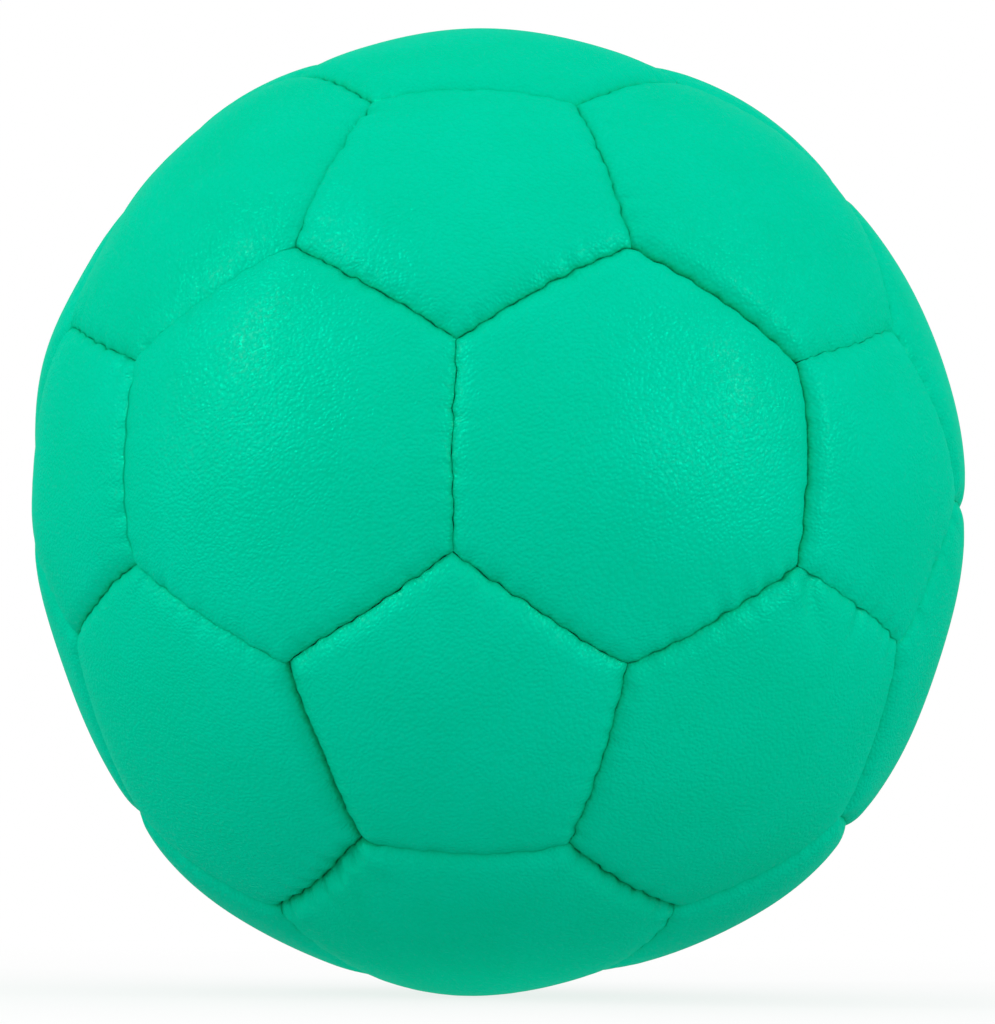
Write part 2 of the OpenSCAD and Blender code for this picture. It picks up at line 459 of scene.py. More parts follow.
@dataclass(frozen=True)
class SeamShape:
    """How the seams wander, roll and dip.

    Attributes:
        layout: The panels and seams.
        sizes: Sizes of the ball.
        roll_w: Width of the soft slope down to a seam.
        roll_d: Depth of that slope.
        edge_w: Width of the rounded edge.
        edge_r: Radius of the rounded edge.
        fold_w: Width of the tight fold at its foot.
        fold_d: Depth of that fold.
        wave: How far the line of a seam steps sideways at each stitch.
        drift: How far the line strays between its corners.
        ragged: How far the line strays over a millimetre or two.
        ragged_lengths: Lengths of the waves that do so, in millimetres.
        ragged_reach: How far from the seam that shows.
        shut: How far a seam drawn shut takes up the gap on each side.
        gape: How far a slack seam opens again between its stitches.
        gape_lengths: Lengths of the waves by which it opens unevenly, in millimetres.
        gap_reach: How far from the seam the shutting and opening show.
        dip: How far a stitch pulls the leather down beside it.
        dip_reach: How far from the seam that shows.
        pucker: Depth of the gathers that run out from the stitches.
        pucker_reach: How far they run.
        bow: How far a hexagon's side bulges into a pentagon.
        bow_reach: How far from the seam that shows.
        pleat: Height of the fine pleats that run out from a seam.
        pleat_lengths: Lengths of their waves, in millimetres.
        pleat_reach: How far from the seam they run.
    """

    layout: Layout
    sizes: BallSizes
    roll_w: float = 7 * MM
    roll_d: float = 0.3 * MM
    edge_w: float = 3.2 * MM
    edge_r: float = 5.1 * MM
    fold_w: float = 0.6 * MM
    fold_d: float = 0.07 * MM
    wave: float = 0.1 * MM
    drift: float = 0.16 * MM
    ragged: float = 0.035 * MM
    ragged_lengths: tuple[float, ...] = (1.7, 2.3, 3.1, 4.3)
    ragged_reach: float = 1.2 * MM
    shut: float = 0.085 * MM
    gape: float = 0.03 * MM
    gape_lengths: tuple[float, ...] = (2.6, 3.7, 5.3, 8.1)
    gap_reach: float = 0.7 * MM
    dip: float = 0.2 * MM
    dip_reach: float = 1.5 * MM
    pucker: float = 0.3 * MM
    pucker_reach: float = 5.5 * MM
    bow: float = 0.25 * MM
    bow_reach: float = 9 * MM
    pleat: float = 0.02 * MM
    pleat_lengths: tuple[float, ...] = (2.1, 2.7, 3.5, 4.6, 6.3)
    pleat_reach: float = 3.2 * MM

    @cached_property
    def stitch_angles(self) -> np.ndarray:
        """The angle of each stitch from the middle of its seam."""
        margin = self.sizes.stitch_margin / self.sizes.stitch_r
        end = self.layout.half_side - margin
        return np.linspace(-end, end, self.sizes.stitches)

    @cached_property
    def _random(self) -> dict[str, np.ndarray]:
        """Every seam's own shares, shifts and phases."""
        random = np.random.default_rng(SEAM_SEED)
        seams = len(self.layout.seams)
        shape = (seams, self.sizes.stitches)
        drawn = {
            "wave": random.normal(1, 0.55, shape) * random.choice([-1, 1], (seams, 1)),
            "shift": random.normal(0, 0.08, shape),
            "dip": random.uniform(0.1, 1, shape) ** 1.5 * 1.6,
            "drift": random.normal(0, 1, (seams, 3)) / np.array([1, 1.6, 2.2]),
            "ragged": random.uniform(0, 2 * math.pi, (seams, 2, 4)),
            "pleat": random.uniform(0, 2 * math.pi, (seams, 2, 5)),
            "gather": random.uniform(0, 1, (seams, 2, self.sizes.stitches)) ** 2 * 2,
            "slack": random.uniform(0.3, 1, seams),
            "pucker": random.uniform(0, 1, seams) ** 3 * 1.4,
        }
        places = {
            frozenset(p.place for p in self.layout.panels if seam in p.seams): seam
            for seam in range(seams)
        }
        for hand in HANDS:
            seam = places[frozenset(hand.panels)]
            drawn["slack"][seam] = hand.slack
            drawn["pucker"][seam] = hand.pucker
        return drawn

    def slackness(self, panel: Panel) -> np.ndarray:
        """Returns how slack the seam along each side of a panel is."""
        return self._random["slack"][panel.seams]

    def rolled(self, panel: Panel, inside: np.ndarray, folded: bool = True) -> np.ndarray:
        """Returns how far the rolled edges lower a panel's face.

        Each side lowers it by a parabola, by the arc of a circle that starts level, and by a
        quarter of an ellipse at its foot. The last two are shallower where the seam is drawn
        shut. The sides' depths are cubed, added up, and the cube root is taken, so that they
        run together softly at the corners.

        Args:
            panel: The panel.
            inside: Distances from its sides, one column each.
            folded: Whether the quarter of an ellipse is part of it.
        """
        least = 0.1
        slack = least + (1 - least) * self.slackness(panel)
        slope = np.clip(1 - inside / self.roll_w, 0, 1) ** 2
        edge = np.clip(self.edge_w - inside, 0, self.edge_w)
        depth = self.edge_r - np.sqrt(self.edge_r**2 - edge**2)
        if folded:
            foot = np.clip((inside - self.sizes.half_gap) / self.fold_w, 0, 1)
            depth = depth + self.fold_d * (1 - np.sqrt(1 - (1 - foot) ** 2))
        depth = depth * slack + self.roll_d * slope
        return (depth**3).sum(axis=1) ** (1 / 3)

    def _from_stitches(self, seams: np.ndarray, along: np.ndarray) -> np.ndarray:
        """Returns how far each place lies from each stitch, in stitch lengths.

        Args:
            seams: The seam of each column.
            along: Angles along the seams, one column each.
        """
        pitch = self.stitch_angles[1] - self.stitch_angles[0]
        stitch = (along[..., None] - self.stitch_angles) / pitch
        return stitch - self._random["shift"][seams]

    def sideways(self, panel: Panel, along: np.ndarray, inside: np.ndarray) -> np.ndarray:
        """Returns how far a panel is drawn past the plane of each seam.

        At each stitch the line of the seam steps from one side to the other, as the distance
        from the stitch times a bell curve of it. Three half waves that fit between the
        corners make it stray, four sine waves make it ragged, and a bow as wide as the side
        is added. All of them die away from the seam. A seam that is drawn shut, and every
        stitch, takes up the gap, and between the stitches of a slack one it opens unevenly.

        Args:
            panel: The panel.
            along: Angles along its sides, one column each.
            inside: Distances from its sides, one column each.
        """
        drawn = self._random
        place = along * panel.turns
        steps = self._from_stitches(panel.seams, place)
        step_w, hold_w, opened, unevenly = 0.4, 0.16, 0.6, 0.35
        crest = step_w / math.sqrt(2) * math.exp(-0.5)
        step = steps * bell(steps / step_w) / crest * drawn["wave"][panel.seams]
        part = np.clip(place / self.layout.half_side, -1, 1)
        halves = (part[..., None] + 1) / 2 * np.array([1, 2, 3]) * math.pi
        stray = (np.sin(halves) * drawn["drift"][panel.seams]).sum(axis=-1)
        phase = drawn["ragged"][panel.seams]
        way = place * self.sizes.crown_r
        rough = ripples(way, self.ragged_lengths, phase[:, 0])
        line = self.wave * step.sum(axis=-1) + self.drift * stray
        line = line + self.ragged * rough * np.exp(-inside / self.ragged_reach)
        outward = 1.0 if panel.kind is PanelKind.HEXAGON else -1.0
        mixed = np.array([self.layout.seams[s].mixed for s in panel.seams])
        bow = outward * self.bow * np.cos(part * math.pi / 2) * mixed
        moved = (panel.turns * line + bow) * bell(inside / self.bow_reach)
        wide = ripples(way, self.gape_lengths, phase[:, 1])
        slack = self.slackness(panel) * np.clip(opened + unevenly * wide, 0, 1)
        slack = slack * (1 - bell(steps / hold_w).max(axis=-1))
        gap = self.shut - (self.shut + self.gape) * np.minimum(slack, 1)
        return moved + gap * np.exp(-inside / self.gap_reach)

    def lowered(self, panel: Panel, along: np.ndarray, inside: np.ndarray) -> np.ndarray:
        """Returns how far the stitches, gathers and pleats lower a panel's face.

        Each stitch pulls a bell-shaped dip, and a gather that widens and dies away over a
        few millimetres. The pleats are sums of sine waves along the side that die away too.

        Args:
            panel: The panel.
            along: Angles along its sides, one column each.
            inside: Distances from its sides, one column each.
        """
        drawn = self._random
        side = (panel.turns > 0).astype(int)
        steps = self._from_stitches(panel.seams, along * panel.turns)
        dip_w, gather_w, widening, pleat_start = 0.3, 0.22, 0.05, 0.5 * MM
        dips = bell(steps / dip_w) * drawn["dip"][panel.seams]
        spread = (gather_w + widening * inside / MM)[..., None]
        gathers = bell(steps / spread) * drawn["gather"][panel.seams, side]
        far = bell(inside / self.pucker_reach) * drawn["pucker"][panel.seams]
        way = along * self.sizes.crown_r
        pleats = ripples(way, self.pleat_lengths, drawn["pleat"][panel.seams, side])
        fade = np.exp(-inside / self.pleat_reach) * (1 - bell(inside / pleat_start))
        pulled = self.dip * dips.sum(axis=-1) * bell(inside / self.dip_reach)
        gathered = self.pucker * gathers.sum(axis=-1) * far
        return (pulled + gathered + self.pleat * pleats * fade).sum(axis=1)


@dataclass(frozen=True)
class Crease:
    """A wrinkle that runs out from a seam over one panel.

    Attributes:
        panel: The place of the panel.
        start: Direction of its start.
        end: Direction of its end.
        width: Half of its width, in millimetres.
        depth: Its depth in millimetres, which is less than nought for a ridge.
    """

    panel: str
    start: tuple[float, float, float]
    end: tuple[float, float, float]
    width: float
    depth: float

    def lowered(self, directions: np.ndarray, radius: float) -> np.ndarray:
        """Returns how far it lowers the face.

        That is a bell curve across it, full over the first quarter and faded out at its end.

        Args:
            directions: Unit directions, one row each.
            radius: Radius of the ball.
        """
        start = unit(np.array(self.start))
        run = unit(np.array(self.end)) - start
        part = (directions - start) @ run / (run @ run)
        nearest = start + np.clip(part, 0, 1)[:, None] * run
        away = np.linalg.norm(directions - nearest, axis=1) * radius / (self.width * MM)
        steepness = 1.3
        return self.depth * MM * bell(away) * smooth(steepness * (1 - part))


CREASES = (
    Crease("front_right_low", (0.661, -0.714, -0.230), (0.684, -0.629, -0.371), 1.8, 0.75),
    Crease("front_right_low", (0.631, -0.743, -0.226), (0.646, -0.704, -0.294), 1.6, -0.5),
    Crease("bottom_front", (-0.229, -0.607, -0.761), (-0.214, -0.589, -0.780), 1.1, 0.7),
    Crease("bottom_front", (-0.264, -0.560, -0.786), (-0.248, -0.531, -0.810), 1.1, 0.7),
    Crease("bottom_front", (-0.294, -0.510, -0.809), (-0.283, -0.484, -0.828), 0.9, 0.5),
    Crease("bottom_front", (-0.188, -0.648, -0.738), (-0.131, -0.594, -0.794), 2.0, -0.7),
    Crease("bottom_front", (-0.240, -0.578, -0.780), (-0.210, -0.518, -0.829), 1.1, -0.5),
    Crease("bottom_front", (-0.340, -0.415, -0.844), (-0.333, -0.329, -0.884), 1.6, -0.4),
    Crease("front_left_high", (-0.549, -0.599, 0.582), (-0.536, -0.668, 0.516), 7.0, 0.5),
)


@dataclass(frozen=True)
class Crown:
    """The bulge of the panels.

    Attributes:
        sizes: Sizes of the ball.
        lump: Height of the soft lumps over the whole ball.
        crown_change: How much the crowns differ in height from panel to panel.
        waves: Number of waves that the lumps are made of.
    """

    sizes: BallSizes
    lump: float = 0.2 * MM
    crown_change: float = 0.18 * MM
    waves: int = 18

    @cached_property
    def _lumps(self) -> tuple[np.ndarray, np.ndarray]:
        """The direction and rate of each lump wave, and its phase."""
        random = np.random.default_rng(LUMP_SEED)
        rates = random.uniform(5, 22, (self.waves, 1))
        turns = unit(random.normal(size=(self.waves, 3)))
        return rates * turns, random.uniform(0, 2 * math.pi, self.waves)

    def radius(self, panel: Panel, directions: np.ndarray) -> np.ndarray:
        """Returns how far the panel's face lies from the middle of the ball.

        The face is part of a smaller sphere through the crown and the corners. The lumps are
        a sum of cosine waves through the ball, and each crown has its own height.

        Args:
            panel: The panel.
            directions: Unit directions, one row each.
        """
        corner = math.cos(panel.kind.corner)
        top, low = self.sizes.crown_r, self.sizes.crown_r - self.sizes.corner_drop
        offset = (top**2 - low**2) / (2 * (top - low * corner))
        slope = directions @ panel.axis
        face = offset * slope + np.sqrt((top - offset) ** 2 - offset**2 * (1 - slope**2))
        rates, phases = self._lumps
        lumps = self.lump * np.cos(directions @ rates.T + phases).sum(axis=1)
        lumps = lumps / math.sqrt(self.waves / 2)
        own = np.random.default_rng(CROWN_SEED + panel.number).normal(0, self.crown_change)
        dome = np.clip(1 - (1 - slope) / (1 - corner), 0, 1)
        return face + lumps + own * dome


# Meshes


@dataclass(frozen=True)
class Shell:
    """The flat plan of a closed panel: a fine face, rings round its edge and a coarse back.

    The plan of each kite between two half sides is a square grid. Its distances from the two
    seams shrink with one parameter each, so that the rows crowd towards the seams. Over the
    fold at the edge they are spaced like equal steps round a quarter of an ellipse.

    Attributes:
        kind: The panel's shape.
        sizes: Sizes of the ball.
        rows: Rows of faces in each kite of the front.
        step: How many rows of the front one row of the back takes up.
        inset: How far the front's edge lies inside the seams.
        back_inset: The same for the back.
        fold_w: How far from the seams the fold at the edge reaches.
        rings: Number of rings between the front's edge and the back's.
    """

    kind: PanelKind
    sizes: BallSizes
    rows: int
    step: int
    inset: float
    back_inset: float
    fold_w: float
    rings: int

    @property
    def turn(self) -> float:
        """The angle from one corner to the next."""
        return 2 * math.pi / self.kind.value

    @cached_property
    def reach(self) -> float:
        """Distance from the middle of the plan to the middle of a side."""
        half_side = math.radians(11.64)
        return math.tan(math.acos(math.cos(self.kind.corner) / math.cos(half_side)))

    @property
    def scale(self) -> float:
        """Length on the plan of one metre across a seam."""
        return (1 + self.reach**2) / self.sizes.crown_r

    def side_directions(self) -> np.ndarray:
        """Returns the plan direction of the middle of each side."""
        angles = (np.arange(self.kind.value) + 0.5) * self.turn
        return np.column_stack([np.cos(angles), np.sin(angles)])

    def to_sides(self, flat: np.ndarray) -> tuple[np.ndarray, np.ndarray]:
        """Measures points from every side of the plan.

        Args:
            flat: Points on it, one row each.

        Returns:
            Angles along the sides and distances inside them, one column each.
        """
        sides = self.side_directions()
        forward = np.column_stack([-sides[:, 1], sides[:, 0]])
        along = np.arctan2(flat @ forward.T, math.sqrt(1 + self.reach**2))
        inside = np.maximum(self.reach - flat @ sides.T, 0) / self.scale
        return along, inside

    def _kites(self, rows: int, inset: float, folded: bool) -> np.ndarray:
        """Works out the plan points of every kite, by kite, row and column.

        Args:
            rows: Rows of faces in each kite.
            inset: How far the edge lies inside the seams.
            folded: Whether the rows are spaced for the fold.
        """
        crowding = 0.62
        short = 1 - np.linspace(0, 1, rows + 1)
        part = 1 - (1 - crowding) * short - crowding * short**2
        u, v = np.meshgrid(part, part, indexing="ij")
        lean = math.cos(self.turn)
        away = np.array([(1 - u) * (1 - v * lean), (1 - v) * (1 - u * lean)]) * self.reach
        width, edge = self.fold_w * self.scale, inset * self.scale
        if folded:
            angle = np.clip(away / width, 0, 1) * math.pi / 2
            bent = edge + (width - edge) * (1 - np.cos(angle))
            away = np.where(away < width, bent, away)
        else:
            away = edge + away * (1 - edge / self.reach)
        left = self.reach - away
        first = (left[0] - lean * left[1]) / math.sin(self.turn) ** 2
        second = (left[1] - lean * left[0]) / math.sin(self.turn) ** 2
        sides = self.side_directions()
        before = np.roll(sides, 1, axis=0)
        return (
            first[None, ..., None] * before[:, None, None, :]
            + second[None, ..., None] * sides[:, None, None, :]
        )

    @staticmethod
    def _joined(flat: np.ndarray) -> tuple[np.ndarray, np.ndarray]:
        """Finds the points that neighbouring kites share.

        Args:
            flat: The plan points, by kite, row and column.

        Returns:
            Which point stands for each different place, and the place of every point.
        """
        fine = 1e6
        rounded = np.round(flat.reshape(-1, 2) * fine + 1 / 3)
        _, first, place = np.unique(rounded, axis=0, return_index=True, return_inverse=True)
        return first, place.reshape(flat.shape[:-1])

    @staticmethod
    def _rim(place: np.ndarray) -> np.ndarray:
        """Returns the places round the edge, anticlockwise from the first corner.

        Args:
            place: The place of every point, by kite, row and column.
        """
        leaving = place[:, ::-1, -1][:, :-1]
        coming = np.roll(place[:, -1, :], -1, axis=0)[:, :-1]
        return np.concatenate([leaving, coming], axis=1).ravel()

    @staticmethod
    def _quads(place: np.ndarray) -> np.ndarray:
        """Returns the faces of every kite, one row of four places each.

        Args:
            place: The place of every point, by kite, row and column.
        """
        corners = (place[:, :-1, :-1], place[:, 1:, :-1], place[:, 1:, 1:], place[:, :-1, 1:])
        return np.stack(corners, axis=-1).reshape(-1, 4)

    @cached_property
    def plan(self) -> dict[str, np.ndarray]:
        """The flat plan: points and faces of the front, the rings and the back."""
        front = self._kites(self.rows, self.inset, True)
        first, place = self._joined(front)
        back = self._kites(self.rows // self.step, self.back_inset, False)
        back_first, back_place = self._joined(back)
        rim, back_rim = self._rim(place), self._rim(back_place)
        count, around = len(first), len(rim)
        rings = [rim] + [count + k * around + np.arange(around) for k in range(self.rings)]
        back_start = count + self.rings * around
        faces = [self._quads(place)]
        for upper, lower in zip(rings, rings[1:]):
            faces.append(
                np.column_stack([upper, lower, np.roll(lower, -1), np.roll(upper, -1)])
            )
        last = rings[-1].reshape(-1, self.step)
        following = np.roll(last[:, 0], -1)
        inner = back_start + back_rim
        faces.append(
            np.column_stack([last[:, 0], inner, np.roll(inner, -1), following, last[:, :0:-1]])
        )
        faces.append(back_start + self._quads(back_place)[:, ::-1])
        return {
            "front": front.reshape(-1, 2)[first],
            "rim": rim,
            "back": back.reshape(-1, 2)[back_first],
            "faces": faces,
        }


def make_mesh(
    name: str, points: np.ndarray, faces: Sequence[np.ndarray], **values: np.ndarray
) -> bpy.types.Mesh:
    """Puts points and faces into a mesh.

    Args:
        name: Name of the mesh.
        points: Its points, one row each.
        faces: Arrays of faces, each with one number of corners.
        **values: Numbers to keep for each point. Two a point make a UV map.

    Returns:
        The mesh, smooth shaded.
    """
    corners = np.concatenate([f.ravel() for f in faces]).astype(np.int32)
    totals = np.concatenate([np.full(len(f), f.shape[1]) for f in faces])
    starts = np.concatenate([[0], np.cumsum(totals)[:-1]]).astype(np.int32)
    mesh = bpy.data.meshes.new(name)
    mesh.vertices.add(len(points))
    mesh.loops.add(len(corners))
    mesh.polygons.add(len(totals))
    mesh.vertices.foreach_set("co", points.astype(np.float32).ravel())
    mesh.loops.foreach_set("vertex_index", corners)
    mesh.polygons.foreach_set("loop_start", starts)
    mesh.polygons.foreach_set("use_smooth", np.ones(len(totals), bool))
    mesh.update(calc_edges=True)
    for key, value in values.items():
        if value.ndim == 2:
            layer = mesh.uv_layers.new(name=key)
            layer.data.foreach_set("uv", value[corners].astype(np.float32).ravel())
        else:
            attribute = mesh.attributes.new(key, "FLOAT", "POINT")
            attribute.data.foreach_set("value", value.astype(np.float32))
    mesh.validate()
    return mesh


def ring_faces(rings: int, around: int) -> tuple[np.ndarray, np.ndarray, np.ndarray]:
    """Joins rings of points into a skin, seen from where they widen anticlockwise.

    Args:
        rings: Number of rings.
        around: Points in each.

    Returns:
        The number of every point, that of the point after it, and the faces between rings.
    """
    index = np.arange(rings * around).reshape(rings, around)
    after = np.roll(index, -1, axis=1)
    quads = np.stack([index[:-1], index[1:], after[1:], after[:-1]], axis=-1)
    return index, after, quads.reshape(-1, 4)


def fan(hub: int, start: np.ndarray, end: np.ndarray) -> np.ndarray:
    """Returns triangles from one point to each pair of two rows of points."""
    return np.column_stack([np.full(len(start), hub), start, end])


def place_piece(
    mesh: bpy.types.Mesh, material: bpy.types.Material, slot: str, *nodes: str
) -> bpy.types.Object:
    """Makes a finished piece of a mesh, and puts it in the place of CAD nodes.

    Args:
        mesh: The mesh, already in place.
        material: Its material.
        slot: The name of its material slot, which is only logged.
        *nodes: The CAD nodes that it stands for.

    Returns:
        The piece.
    """
    mesh.materials.append(material)
    piece = bpy.data.objects.new(mesh.name, mesh)
    bpy.context.scene.collection.objects.link(piece)
    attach(piece, BODY)
    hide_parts(*nodes)
    triangles = sum(len(p.vertices) - 2 for p in mesh.polygons)
    log.info("%s: %d triangles, %s", piece.name, triangles, slot)
    return piece


# Finishes


class Nodes:
    """Adds nodes to one node tree and joins them up."""

    def __init__(self, tree: bpy.types.NodeTree) -> None:
        """Takes the tree to add to."""
        self.tree = tree

    def add(self, kind: str, inputs: dict | None = None, **settings: object) -> bpy.types.Node:
        """Adds a node.

        Args:
            kind: The node's type, without the words that all of them start with.
            inputs: A value or another node's socket for each named or numbered input.
            **settings: Properties of the node.

        Returns:
            The node.
        """
        node = self.tree.nodes.new(kind if kind.startswith("NodeGroup") else "ShaderNode" + kind)
        for key, value in settings.items():
            setattr(node, key, value)
        for key, value in (inputs or {}).items():
            if isinstance(value, bpy.types.NodeSocket):
                self.tree.links.new(value, node.inputs[key])
            else:
                node.inputs[key].default_value = value
        return node

    def group(self, tree: bpy.types.NodeTree, **inputs: object) -> bpy.types.bpy_prop_collection:
        """Adds a node group and returns its outputs."""
        return self.add("Group", inputs, node_tree=tree).outputs

    def math(self, operation: str, *values: object) -> bpy.types.NodeSocket:
        """Returns the result of a sum on values or sockets."""
        return self.add("Math", dict(enumerate(values)), operation=operation).outputs[0]

    def ranged(
        self, value: object, low: float, high: float, to: tuple[float, float] = (0.0, 1.0)
    ) -> bpy.types.NodeSocket:
        """Turns a value from one range to another, smoothly and without overshoot.

        Args:
            value: The value or its socket.
            low: Low end of its range.
            high: High end of its range.
            to: The ends of the new range.

        Returns:
            The socket of the new value.
        """
        inputs = {
            "Value": value, "From Min": low, "From Max": high, "To Min": to[0], "To Max": to[1],
        }
        return self.add("MapRange", inputs, interpolation_type="SMOOTHSTEP").outputs["Result"]

    def blend(self, share: object, first: object, second: object) -> bpy.types.NodeSocket:
        """Blends two colours.

        Args:
            share: Share of the second.
            first: A colour or its socket.
            second: A colour or its socket.

        Returns:
            The socket of the blend.
        """
        return self.add("Mix", {0: share, 6: first, 7: second}, data_type="RGBA").outputs[2]

    def noise(self, where: object, per_mm: object, detail: float) -> bpy.types.NodeSocket:
        """Adds cloudy noise.

        Args:
            where: Coordinates in millimetres.
            per_mm: Clouds in one millimetre.
            detail: Layers of finer clouds.

        Returns:
            The socket of the noise.
        """
        inputs = {"Vector": where, "Scale": per_mm, "Detail": detail}
        return self.add("TexNoise", inputs).outputs["Fac"]

    def crest(self, noise: bpy.types.NodeSocket, width: float) -> bpy.types.NodeSocket:
        """Returns ridges along the lines where noise passes its middle, by their half width."""
        away = self.math("ABSOLUTE", self.math("SUBTRACT", noise, 0.5))
        return self.ranged(away, 0.0, width, (1.0, 0.0))


def new_group(name: str, inputs: dict[str, str], outputs: Sequence[str]) -> tuple:
    """Makes an empty shader node group.

    Args:
        name: Name of the group.
        inputs: The socket type of each input.
        outputs: The names of the outputs, each of which is a number.

    Returns:
        The group, its nodes and the sockets of its inputs.
    """
    group = bpy.data.node_groups.new(name, "ShaderNodeTree")
    for side, sockets in (("INPUT", inputs), ("OUTPUT", dict.fromkeys(outputs, "Float"))):
        for key, kind in sockets.items():
            group.interface.new_socket(key, in_out=side, socket_type="NodeSocket" + kind)
    nodes = Nodes(group)
    return group, nodes, nodes.add("NodeGroupInput").outputs


def mottle_group() -> bpy.types.NodeTree:
    """Returns a group that gives soft clouds of tone with finer ones inside them."""
    group, nodes, into = new_group("mottle", {"Where": "Vector", "Size": "Float"}, ["Tone"])
    rate = nodes.math("DIVIDE", 1.0, into["Size"])
    wide = nodes.noise(into["Where"], rate, 3.0)
    fine = nodes.noise(into["Where"], nodes.math("MULTIPLY", rate, 7.0), 2.0)
    tone = nodes.math("MULTIPLY_ADD", fine, 0.35, wide)
    nodes.add("NodeGroupOutput", {"Tone": nodes.ranged(tone, 0.35, 1.0)})
    return group


def grain_group() -> bpy.types.NodeTree:
    """Returns a group that gives the height of leather grain, a mask of its creases for painted
    shade, and its gloss.

    Round pebbles are drawn out along one direction, and noise bends them in wide swirls and
    fine wobbles. Short ridges of stretched noise lie over them, stronger in some places.
    """
    inputs = {"Where": "Vector", "Cell": "Float", "Stretch": "Float"}
    group, nodes, into = new_group("leather_grain", inputs, ["Height", "Crease", "Gloss"])
    bent = into["Where"]
    for per_mm, reach in ((0.14, 1.6), (0.9, 0.35)):
        cloud = nodes.add("TexNoise", {"Vector": bent, "Scale": per_mm, "Detail": 1.0})
        inputs = {0: cloud.outputs["Color"], 1: (0.5, 0.5, 0.5)}
        centred = nodes.add("VectorMath", inputs, operation="SUBTRACT").outputs[0]
        inputs = {0: centred, 1: (reach, reach, 0.0), 2: bent}
        bent = nodes.add("VectorMath", inputs, operation="MULTIPLY_ADD").outputs[0]
    parts = nodes.add("SeparateXYZ", {0: bent}).outputs
    along = nodes.math("DIVIDE", parts["X"], into["Stretch"])
    drawn = nodes.add("CombineXYZ", {"X": along, "Y": parts["Y"]}).outputs[0]
    rate = nodes.math("DIVIDE", 1.0, into["Cell"])
    inputs = {"Vector": drawn, "Scale": rate, "Smoothness": 0.35, "Randomness": 1.0}
    cells = nodes.add("TexVoronoi", inputs, feature="SMOOTH_F1", voronoi_dimensions="2D")
    pebble = nodes.ranged(cells.outputs["Distance"], 0.05, 0.7, (1.0, 0.0))
    # Where the pebbles meet: the leather takes painted shade there.
    crease = nodes.ranged(cells.outputs["Distance"], 0.4, 0.75)
    longer = nodes.math("MULTIPLY", along, 0.55)
    ridge_at = nodes.add("CombineXYZ", {"X": longer, "Y": parts["Y"]}).outputs[0]
    ridge = nodes.crest(nodes.noise(ridge_at, nodes.math("MULTIPLY", rate, 0.5), 1.0), 0.09)
    strength = nodes.ranged(nodes.noise(into["Where"], 0.05, 1.0), 0.4, 0.65, (0.0, 0.25))
    height = nodes.math("MULTIPLY_ADD", ridge, strength, nodes.math("MULTIPLY", pebble, 0.75))
    height = nodes.math("MULTIPLY_ADD", nodes.noise(bent, 2.2, 1.0), 0.8, height)
    glint = nodes.ranged(nodes.noise(bent, 1.5, 1.0), 0.5, 0.68)
    gloss = nodes.math("MULTIPLY_ADD", glint, 0.9, 0.1)
    nodes.add("NodeGroupOutput", {"Height": height, "Crease": crease, "Gloss": gloss})
    return group


def weave_group() -> bpy.types.NodeTree:
    """Returns a group that gives the height of a plain weave: threads over and under in turn."""
    inputs = {"Where": "Vector", "Pitch": "Float"}
    group, nodes, into = new_group("plain_weave", inputs, ["Height"])
    parts = nodes.add("SeparateXYZ", {0: into["Where"]}).outputs
    rate = nodes.math("DIVIDE", math.pi, into["Pitch"])
    across, down = [nodes.math("MULTIPLY", parts[axis], rate) for axis in "XY"]
    warp, weft = [nodes.math("ABSOLUTE", nodes.math("SINE", way)) for way in (across, down)]
    over = nodes.math("MULTIPLY", nodes.math("COSINE", across), nodes.math("COSINE", down))
    share = nodes.ranged(over, -0.2, 0.2)
    lower = nodes.math("MULTIPLY", warp, nodes.math("SUBTRACT", 1.0, share))
    nodes.add("NodeGroupOutput", {"Height": nodes.math("MULTIPLY_ADD", weft, share, lower)})
    return group


@dataclass
class Effects:
    """The node groups that the finishes share."""

    mottle: bpy.types.NodeTree = field(default_factory=mottle_group)
    grain: bpy.types.NodeTree = field(default_factory=grain_group)
    weave: bpy.types.NodeTree = field(default_factory=weave_group)


def new_material(name: str) -> tuple[bpy.types.Material, Nodes]:
    """Returns a new material and its nodes, of which there are none yet."""
    material = bpy.data.materials.new(name)
    material.use_nodes = True
    material.node_tree.nodes.clear()
    return material, Nodes(material.node_tree)


@dataclass(frozen=True)
class Ground:
    """What a finish works its looks out from.

    Attributes:
        nodes: The material's nodes.
        effects: The shared node groups.
        where: Coordinates in millimetres.
        tone: Clouds of tone, from nought to one.
    """

    nodes: Nodes
    effects: Effects
    where: bpy.types.NodeSocket
    tone: bpy.types.NodeSocket


